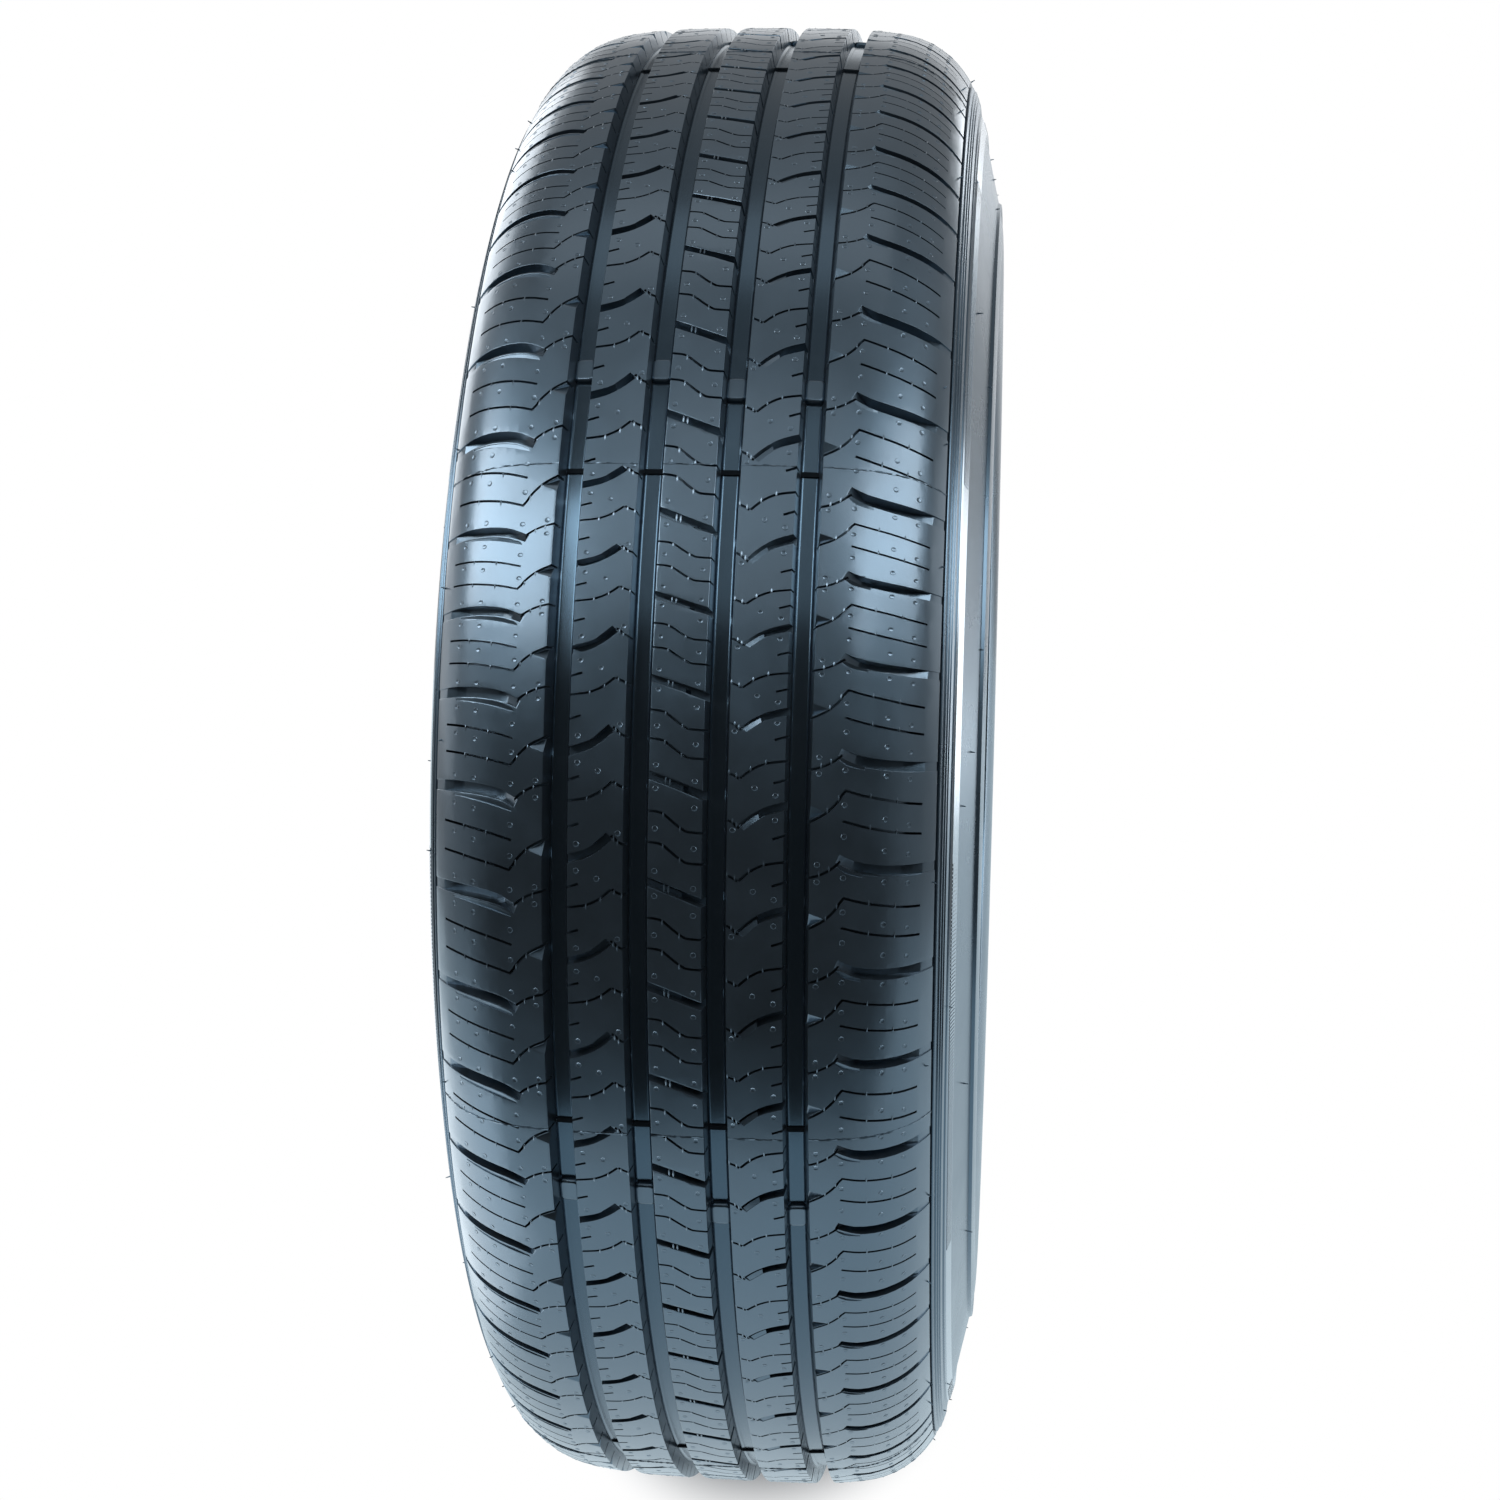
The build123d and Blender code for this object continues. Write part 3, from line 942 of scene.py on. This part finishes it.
    def sidewall_line(self, section, band, edge):
        """Sidewall with its fine ribs, line, raised band and rims, down to the bead seat."""
        wall = section.wall_start
        line = []
        for start in self.FINE_RIBS:
            line += self.form(edge + start * MM, self.FINE_RIB)
        line += self.form(wall, self.WALL_LINE)
        side = self.BAND_SIDE * MM
        start = wall + band.band_start
        end = start + band.band_width
        line += [(start, 0.0), (start + side, band.band_height), (end - side, band.band_low), (end, 0.0)]
        line += self.form(wall, self.WALL_RIB)
        flank = (section.heel_start - section.flank_start) * self.RIM_SHARE
        line.append((section.flank_start, 0.0))
        line += self.plain(section.flank_start, flank, self.FLANK_STEPS)
        line += self.form(section.flank_start + flank, self.RIM_RIB)
        rim_end = line[-1][0]
        line += self.plain(rim_end, section.heel_start - rim_end, self.RIM_STEPS)
        line += self.plain(section.heel_start, section.end() - section.heel_start, self.HEEL_STEPS)
        return [section.raised(along, height) for along, height in line]

    def inside_line(self, sizes):
        """Bead toe and liner, back to the mid-plane."""
        across, radius, slope = 0.0, self.bed_radius(sizes), 0.0
        line = [(across, radius)]
        stretches = [
            (sizes.liner_crown_radius, sizes.liner_crown_turn),
            (sizes.liner_shoulder_radius, sizes.buttress_slope - sizes.liner_crown_turn),
            (None, sizes.liner_wall),
            (sizes.flank_radius - sizes.sidewall_thickness, sizes.liner_flank_turn),
        ]
        for (bend, amount), steps in zip(stretches, self.LINER_STEPS):
            step = amount / steps
            for _ in range(steps):
                if bend is None:
                    across += step * math.cos(slope)
                    radius -= step * math.sin(slope)
                else:
                    next_slope = slope + step
                    across += bend * (math.sin(next_slope) - math.sin(slope))
                    radius -= bend * (math.cos(slope) - math.cos(next_slope))
                    slope = next_slope
                line.append((across, radius))
        line.append((sizes.bead_toe, sizes.bead_radius))
        return line[::-1]


class TYRE_OT_shoulders(bpy.types.Operator):
    """Shoulder ribs with their wide slots and thin cuts"""

    bl_idname = "tyre.shoulders"
    bl_label = "Shoulders"

    CELL_START = -3.2
    EDGE_GAP = 1.3 * MM
    SLOT_STEPS = 12
    FACET_STEPS = 6
    VALLEY_STEPS = 8
    CORNER_STEPS = 1
    CREASE = 30

    def execute(self, context):
        cuts = [SLOT_TAIL, SHOULDER_SIPE, BENT_SIPE, BENT_SIPE_TAIL]
        for name, right_side in (("left_shoulder", False), ("right_shoulder", True)):
            cell = TreadCell(context, self.CELL_START)
            outer = grooves(cell.sizes)[1]
            edge = context.scene.tyre_section.edge_line - self.EDGE_GAP
            cell.block(-edge, -cell.section.reach(outer.high), 0.0, outer.spread)
            cell.slot(SLOT_UPPER, SLOT_LOWER, self.SLOT_STEPS)
            if right_side:
                cell.slot(FACET_UPPER, FACET_LOWER, self.FACET_STEPS)
            else:
                cell.slot(VALLEY_UPPER, VALLEY_LOWER, self.VALLEY_STEPS)
            cell.slot(CORNER_UPPER, CORNER_LOWER, self.CORNER_STEPS)
            cell.round_top()
            cell.sipes(cuts)
            cell.slice(SHOULDER_BENDS)
            cell.ties(along_paths(cuts), cell.sizes.tie_length)
            cell.vents(SHOULDER_VENTS)
            shape = cell.ring(context, right_side)
            shade(shape, self.CREASE)
            add_piece(name, shape, tread_rubber(context))
        return {"FINISHED"}


class TYRE_OT_side_ribs(bpy.types.Operator):
    """Second and fourth ribs with their curved notches"""

    bl_idname = "tyre.side_ribs"
    bl_label = "Side Ribs"

    CELL_START = -4.9
    NOTCH_STEPS = 6
    TIP_STEPS = 4
    CREASE = 30

    def execute(self, context):
        cuts = [NOTCH_TAIL, RIB_SIPE, RIB_SIPE_TAIL]
        for name, right_side in (("left_rib", False), ("right_rib", True)):
            cell = TreadCell(context, self.CELL_START)
            inner, outer = grooves(cell.sizes)
            low, high = -cell.section.reach(outer.low), -cell.section.reach(inner.high)
            cell.block(low, high, outer.spread, inner.spread)
            cell.slot(NOTCH_UPPER, NOTCH_LOWER, self.NOTCH_STEPS)
            cell.slot(CHANNEL_UPPER, CHANNEL_LOWER, self.NOTCH_STEPS)
            if right_side:
                cell.slot(RIGHT_TIP_UPPER, RIGHT_TIP_LOWER, self.TIP_STEPS)
            else:
                cell.slot(TIP_UPPER, TIP_LOWER, self.TIP_STEPS)
            cell.round_top()
            cell.sipes([*cuts, *RIB_TICKS])
            cell.slice(RIB_BENDS)
            cell.ties(along_paths(cuts), cell.sizes.tie_length)
            cell.vents(RIB_VENTS)
            shape = cell.ring(context, right_side, cell.sizes.rib_shift)
            shade(shape, self.CREASE)
            add_piece(name, shape, tread_rubber(context))
        return {"FINISHED"}


class TYRE_OT_middle_rib(bpy.types.Operator):
    """Middle rib with its slanting slots and wavy cuts"""

    bl_idname = "tyre.middle_rib"
    bl_label = "Middle Rib"

    CELL_START = 19.0
    CROSS_STEPS = 3
    CREASE = 30

    def execute(self, context):
        cell = TreadCell(context, self.CELL_START)
        inner = grooves(cell.sizes)[0]
        reach = cell.section.reach(inner.low)
        cell.block(-reach, reach, inner.spread, inner.spread)
        lower = [(across, along + CROSS_WIDTH, depth) for across, along, depth in CROSS_UPPER]
        cell.slot(CROSS_UPPER, lower, self.CROSS_STEPS)
        channel = []
        for offset in (0.0, CROSS_CHANNEL):
            channel.append([(across, along + offset, CROSS_DEPTH) for across, along, _ in CROSS_UPPER])
        cell.slot(*channel, self.CROSS_STEPS)
        cell.round_top()
        cuts = [MIDDLE_SIPE, [(across, along + MIDDLE_SIPE_STEP) for across, along in MIDDLE_SIPE]]
        cell.sipes(cuts)
        cell.slice(MIDDLE_BENDS)
        cell.ties(along_paths(cuts), cell.sizes.tie_length)
        cell.ties(CROSS_TIES, cell.sizes.bridge_length)
        cell.vents(MIDDLE_VENTS)
        shape = cell.ring(context, False)
        shade(shape, self.CREASE)
        add_piece("middle_rib", shape, tread_rubber(context))
        return {"FINISHED"}


class TYRE_OT_wear_bars(bpy.types.Operator):
    """Wear bars across the groove floors"""

    bl_idname = "tyre.wear_bars"
    bl_label = "Wear Bars"

    ROUND_STEPS = 3
    CREASE = 40

    def execute(self, context):
        tread = context.scene.tyre_tread
        section = SectionLine(context.scene.tyre_section)
        floor = -tread.groove_depth
        top = floor + tread.wear_bar_height
        bar = small_block(tread.wear_bar_length, tread.wear_bar_width, floor - ROOT, top)
        upright = [edge for edge in bar.edges if abs(edge.verts[0].co.z - edge.verts[1].co.z) > MM]
        round_edges(bar, upright, tread.wear_bar_corner, self.ROUND_STEPS)
        rim = [edge for edge in bar.edges if min(vert.co.z for vert in edge.verts) > floor]
        round_edges(bar, rim, tread.wear_bar_rim, self.ROUND_STEPS)
        places = []
        for side, lag in ((-1, 0.0), (1, tread.wear_lag)):
            for groove in grooves(tread):
                reach = side * section.reach(groove.middle)
                places += [(math.radians(degrees) + lag, reach) for degrees in WEAR_TURNS]
        shape = lay_out(section, bar, places)
        shade(shape, self.CREASE)
        add_piece("wear_bars", shape, tread_rubber(context), whole=False)
        return {"FINISHED"}


class TYRE_OT_mould_lines(bpy.types.Operator):
    """Rough raised lines, and flash in the grooves, where the sectors of the mould meet; the flash is dark
    rubber that paints the shade of the joint step
    """

    bl_idname = "tyre.mould_lines"
    bl_label = "Mould Lines"

    EDGE_GAP = 1.2 * MM
    SEED = 7
    ROUGH_HEIGHTS = (0.1, 1.1)
    ROUGH_WIDTHS = (0.3, 1.2)
    CREASE = 30

    def execute(self, context):
        tread = context.scene.tyre_tread
        section = SectionLine(context.scene.tyre_section)
        turns = [math.radians(degrees) for degrees in JOINT_TURNS]
        self.lines(context, tread, section, turns)
        self.flash(context, tread, section, turns)
        return {"FINISHED"}

    def lines(self, context, tread, section, turns):
        """Raised lines across the ribs, from groove to groove."""
        inner, outer = grooves(tread)
        tread_edge = context.scene.tyre_section.edge_line - self.EDGE_GAP
        middle_edge = section.reach(inner.low)
        spans = [(-middle_edge, middle_edge)]
        for low, high in (
            (section.reach(inner.high), section.reach(outer.low)),
            (section.reach(outer.high), tread_edge),
        ):
            spans += [(low, high), (-high, -low)]
        shape = bmesh.new()
        rough = random.Random(self.SEED)
        for low, high in spans:
            line = self.rough_line(tread, high - low, rough)
            join(shape, lay_out(section, line, [(turn_angle, (low + high) / 2) for turn_angle in turns]))
        shade(shape, self.CREASE)
        add_piece("mould_lines", shape, tread_rubber(context), whole=False)

    def rough_line(self, tread, wide, rough):
        """A thin raised line across a rib, of uneven height."""
        line = small_block(tread.joint_width, wide, -2 * tread.joint_height, tread.joint_height)
        lengthwise = [edge for edge in line.edges if abs(edge.verts[0].co.y - edge.verts[1].co.y) > MM]
        bmesh.ops.subdivide_edges(line, edges=lengthwise, cuts=round(wide / MM), use_grid_fill=True)
        for vert in line.verts:
            if vert.co.z > 0:
                vert.co.z *= rough.uniform(*self.ROUGH_HEIGHTS)
                vert.co.x *= rough.uniform(*self.ROUGH_WIDTHS)
        return line

    def flash(self, context, tread, section, turns):
        """Low blocks of flash on the groove floors at the joints, in dark rubber that paints the shade of
        the joint step.
        """
        floor = -tread.groove_depth
        top = floor + tread.flash_height
        block = small_block(tread.flash_length, tread.flash_width, floor - ROOT, top)
        places = []
        for groove in grooves(tread):
            for side in (-1, 1):
                reach = side * section.reach(groove.middle)
                places += [(turn_angle, reach) for turn_angle in turns]
        shape = lay_out(section, block, places)
        shade(shape, self.CREASE)
        # The dark flash blocks paint the shade at the joint step
        add_piece("joint_flash_and_painted_shade", shape, flash_and_painted_shade_rubber(context), whole=False)


class TYRE_OT_sidewall_marks(bpy.types.Operator):
    """Fine ridges on stretches of the raised sidewall bands"""

    bl_idname = "tyre.sidewall_marks"
    bl_label = "Sidewall Marks"

    RIDGE_MARGIN = 2.0 * MM
    RIDGE_LENGTH = 0.75
    RIDGE_TOP = 0.8
    CREASE = 20

    def execute(self, context):
        sizes = context.scene.tyre_sidewall
        section = SectionLine(context.scene.tyre_section)
        middle = section.wall_start + sizes.band_start + sizes.band_width / 2
        step = sizes.ridge_pitch / section.at(middle)[1]
        stretch = math.tau * sizes.ridge_share / sizes.ridge_stretches
        turns = []
        for number in range(sizes.ridge_stretches):
            start = sizes.ridge_turn + math.tau * number / sizes.ridge_stretches
            turns += [start + ridge * step for ridge in range(int(stretch / step))]
        long = self.RIDGE_LENGTH * sizes.ridge_pitch
        wide = sizes.band_width - self.RIDGE_MARGIN
        ridge = small_block(long, wide, -SHALLOW_ROOT, sizes.ridge_height)
        for vert in ridge.verts:
            if vert.co.z > 0:
                vert.co.x *= self.RIDGE_TOP
            vert.co.z += (sizes.band_height + sizes.band_low) / 2
        slope = (sizes.band_height - sizes.band_low) / sizes.band_width
        shape = bmesh.new()
        for side in (-1, 1):
            tilted = ridge.copy()
            for vert in tilted.verts:
                vert.co.z -= side * slope * vert.co.y
            join(shape, lay_out(section, tilted, [(turn_angle, side * middle) for turn_angle in turns]))
        ridge.free()
        shade(shape, self.CREASE)
        add_piece("sidewall_ridges", shape, band_rubber(context), whole=False)
        return {"FINISHED"}


class TYRE_OT_moulding_hairs(bpy.types.Operator):
    """Short stubs of rubber left where the mould was vented"""

    bl_idname = "tyre.moulding_hairs"
    bl_label = "Moulding Hairs"

    SEED = 11
    STRAY = 0.4
    LENGTHS = (0.4, 1.0)
    LEAN = 0.5
    SIDES = 6
    TIP = 0.4
    CREASE = 60

    def execute(self, context):
        sizes = context.scene.tyre_sidewall
        section = SectionLine(context.scene.tyre_section)
        chance = random.Random(self.SEED)
        shape = bmesh.new()
        for side in (-1, 1):
            for number in range(sizes.hairs):
                turn_angle = math.tau * (number + chance.uniform(-self.STRAY, self.STRAY)) / sizes.hairs
                reach = side * chance.choice(HAIR_REACHES) * MM
                long = sizes.hair_length * chance.uniform(*self.LENGTHS)
                lean = chance.uniform(-self.LEAN, self.LEAN)
                foot = around_axle(turn_angle, *section.raised(reach, -SHALLOW_ROOT))
                across, radius = section.raised(reach, long)
                tip = around_axle(turn_angle + lean * long / radius, across, radius)
                self.hair(shape, sizes.hair_width / 2, foot, tip)
        shade(shape, self.CREASE)
        add_piece("moulding_hairs", shape, sidewall_rubber(context), whole=False)
        return {"FINISHED"}

    def hair(self, shape, radius, foot, tip):
        """One tapered hair from its foot to its tip."""
        upright = (tip - foot).to_track_quat("Z", "Y").to_matrix().to_4x4()
        bmesh.ops.create_cone(
            shape,
            cap_ends=True,
            segments=self.SIDES,
            radius1=radius,
            radius2=self.TIP * radius,
            depth=(tip - foot).length,
            matrix=Matrix.Translation((foot + tip) / 2) @ upright,
        )


class TYRE_OT_stage(bpy.types.Operator):
    """Pale floor, soft lamps and the camera"""

    bl_idname = "tyre.stage"
    bl_label = "Stage"

    # In metres; the shadow fades between two distances from the tyre's middle, sooner along the axle
    FLOOR_HALF = 1.2
    FLOOR_SHIFT = -0.5
    SHADOW_NEAR = 0.363
    SHADOW_FAR = 0.395
    SHADOW_STRETCH = (1.0, 1.5, 1.0)

    def execute(self, context):
        self.floor(context)
        self.surroundings(context)
        self.lamps(context)
        self.camera(context)
        context.scene.view_settings.view_transform = "Standard"
        return {"FINISHED"}

    def floor(self, context):
        """A wide plane under the tyre that keeps its shadow."""
        shape = bmesh.new()
        bmesh.ops.create_grid(shape, x_segments=1, y_segments=1, size=self.FLOOR_HALF)
        bmesh.ops.translate(shape, verts=shape.verts, vec=(self.FLOOR_SHIFT, 0, TYRE_LOW.z))
        floor = new_object("floor", shape)
        shape.free()
        floor.data.materials.append(self.floor_paint(context.scene.tyre_colours))

    def floor_paint(self, colours):
        """Matt near the tyre, for the shadow; further out white to the camera and cool in reflections."""
        material = bpy.data.materials.new("floor")
        material.use_nodes = True
        nodes, links = material.node_tree.nodes, material.node_tree.links
        nodes.clear()
        out = nodes.new("ShaderNodeOutputMaterial")
        matt = nodes.new("ShaderNodeBsdfDiffuse")
        matt.inputs["Color"].default_value = (*colours.floor, 1.0)
        white = nodes.new("ShaderNodeEmission")
        white.inputs["Strength"].default_value = 1.0
        path = nodes.new("ShaderNodeLightPath")
        tint = nodes.new("ShaderNodeMix")
        tint.data_type = "RGBA"
        tint.inputs["A"].default_value = WHITE
        tint.inputs["B"].default_value = (*colours.sheen, 1.0)
        place = nodes.new("ShaderNodeTexCoord")
        stretched = nodes.new("ShaderNodeVectorMath")
        stretched.operation = "MULTIPLY"
        stretched.inputs[1].default_value = self.SHADOW_STRETCH
        away = nodes.new("ShaderNodeVectorMath")
        away.operation = "LENGTH"
        fade = nodes.new("ShaderNodeMapRange")
        fade.interpolation_type = "SMOOTHSTEP"
        fade.inputs["From Min"].default_value = self.SHADOW_NEAR
        fade.inputs["From Max"].default_value = self.SHADOW_FAR
        looked_at = nodes.new("ShaderNodeMath")
        looked_at.operation = "MAXIMUM"
        seen = nodes.new("ShaderNodeMath")
        seen.operation = "MULTIPLY"
        mix = nodes.new("ShaderNodeMixShader")
        links.new(path.outputs["Is Glossy Ray"], tint.inputs["Factor"])
        links.new(tint.outputs["Result"], white.inputs["Color"])
        links.new(place.outputs["Object"], stretched.inputs[0])
        links.new(stretched.outputs["Vector"], away.inputs[0])
        links.new(away.outputs["Value"], fade.inputs["Value"])
        links.new(fade.outputs["Result"], seen.inputs[0])
        links.new(path.outputs["Is Camera Ray"], looked_at.inputs[0])
        links.new(path.outputs["Is Glossy Ray"], looked_at.inputs[1])
        links.new(looked_at.outputs["Value"], seen.inputs[1])
        links.new(seen.outputs["Value"], mix.inputs["Fac"])
        links.new(matt.outputs["BSDF"], mix.inputs[1])
        links.new(white.outputs["Emission"], mix.inputs[2])
        links.new(mix.outputs["Shader"], out.inputs["Surface"])
        return material

    def surroundings(self, context):
        """White to the camera; for the light, a studio that is darker before the tyre than behind it."""
        world = bpy.data.worlds.new("studio")
        context.scene.world = world
        world.use_nodes = True
        nodes, links = world.node_tree.nodes, world.node_tree.links
        nodes.clear()
        out = nodes.new("ShaderNodeOutputWorld")
        seen = nodes.new("ShaderNodeBackground")
        seen.inputs["Color"].default_value = WHITE
        studio = nodes.new("ShaderNodeBackground")
        studio.inputs["Color"].default_value = (*context.scene.tyre_colours.lamp, 1.0)
        place = nodes.new("ShaderNodeTexCoord")
        parts = nodes.new("ShaderNodeSeparateXYZ")
        centred = nodes.new("ShaderNodeMath")
        centred.operation = "MULTIPLY_ADD"
        centred.inputs[1].default_value = 0.5
        centred.inputs[2].default_value = 0.5
        light = nodes.new("ShaderNodeValToRGB")
        stops = light.color_ramp.elements
        for number, (spot, level) in enumerate((STUDIO_LEVELS[0], STUDIO_LEVELS[-1])):
            stops[number].position = spot
            stops[number].color = (level, level, level, 1.0)
        for spot, level in STUDIO_LEVELS[1:-1]:
            stops.new(spot).color = (level, level, level, 1.0)
        path = nodes.new("ShaderNodeLightPath")
        mix = nodes.new("ShaderNodeMixShader")
        links.new(place.outputs["Generated"], parts.inputs["Vector"])
        links.new(parts.outputs["X"], centred.inputs[0])
        links.new(centred.outputs["Value"], light.inputs["Fac"])
        links.new(light.outputs["Color"], studio.inputs["Strength"])
        links.new(path.outputs["Is Camera Ray"], mix.inputs["Fac"])
        links.new(studio.outputs["Background"], mix.inputs[1])
        links.new(seen.outputs["Background"], mix.inputs[2])
        links.new(mix.outputs["Shader"], out.inputs["Surface"])

    def lamps(self, context):
        """Soft lamps overhead, before the shoulders and beside the sidewalls, all turned to the tyre."""
        for name, place, roll, width, height, power in LAMPS:
            lamp = bpy.data.lights.new(name, "AREA")
            lamp.shape = "RECTANGLE"
            lamp.size = width
            lamp.size_y = height
            lamp.energy = power
            lamp.color = context.scene.tyre_colours.lamp
            holder = bpy.data.objects.new(name, lamp)
            holder.visible_camera = False
            holder.location = place
            level = (-Vector(place)).to_track_quat("-Z", "Y")
            holder.rotation_euler = (level @ Quaternion((0, 0, 1), math.radians(roll))).to_euler()
            context.scene.collection.objects.link(holder)

    def camera(self, context):
        """Camera at the photograph's angle."""
        sizes = context.scene.tyre_stage
        level = math.cos(sizes.elevation)
        back = Vector((
            math.sin(sizes.azimuth) * level,
            -math.cos(sizes.azimuth) * level,
            math.sin(sizes.elevation),
        ))
        camera = bpy.data.cameras.new("camera")
        camera.lens = sizes.lens
        camera.shift_x = sizes.shift_x
        camera.shift_y = sizes.shift_y
        holder = bpy.data.objects.new("camera", camera)
        holder.location = back * sizes.distance
        holder.rotation_euler = (-back).to_track_quat("-Z", "Y").to_euler()
        context.scene.collection.objects.link(holder)
        context.scene.camera = holder


class TYRE_PT_panel(bpy.types.Panel):
    """Operators that build the tyre"""

    bl_label = "Car Tyre"
    bl_idname = "TYRE_PT_panel"
    bl_space_type = "VIEW_3D"
    bl_region_type = "UI"
    bl_category = "Tyre"

    def draw(self, context):
        for operator in OPERATORS:
            self.layout.operator(operator.bl_idname)


GROUPS = {
    "tyre_section": TyreSectionSizes,
    "tyre_tread": TreadSizes,
    "tyre_sidewall": SidewallSizes,
    "tyre_colours": TyreColours,
    "tyre_stage": StageSizes,
}
OPERATORS = [
    TYRE_OT_casing,
    TYRE_OT_shoulders,
    TYRE_OT_side_ribs,
    TYRE_OT_middle_rib,
    TYRE_OT_wear_bars,
    TYRE_OT_mould_lines,
    TYRE_OT_sidewall_marks,
    TYRE_OT_moulding_hairs,
    TYRE_OT_stage,
]


def register():
    """Registers the property groups, operators and panel."""
    for name, group in GROUPS.items():
        bpy.utils.register_class(group)
        setattr(bpy.types.Scene, name, bpy.props.PointerProperty(type=group))
    for item in [*OPERATORS, TYRE_PT_panel]:
        bpy.utils.register_class(item)


def unregister():
    """Takes all of it out again."""
    for item in [TYRE_PT_panel, *reversed(OPERATORS)]:
        bpy.utils.unregister_class(item)
    for name, group in GROUPS.items():
        delattr(bpy.types.Scene, name)
        bpy.utils.unregister_class(group)


def main():
    """Builds every piece."""
    register()
    bpy.ops.tyre.casing()
    bpy.ops.tyre.shoulders()
    bpy.ops.tyre.side_ribs()
    bpy.ops.tyre.middle_rib()
    bpy.ops.tyre.wear_bars()
    bpy.ops.tyre.mould_lines()
    bpy.ops.tyre.sidewall_marks()
    bpy.ops.tyre.moulding_hairs()
    bpy.ops.tyre.stage()


if __name__ == "__main__":
    main()
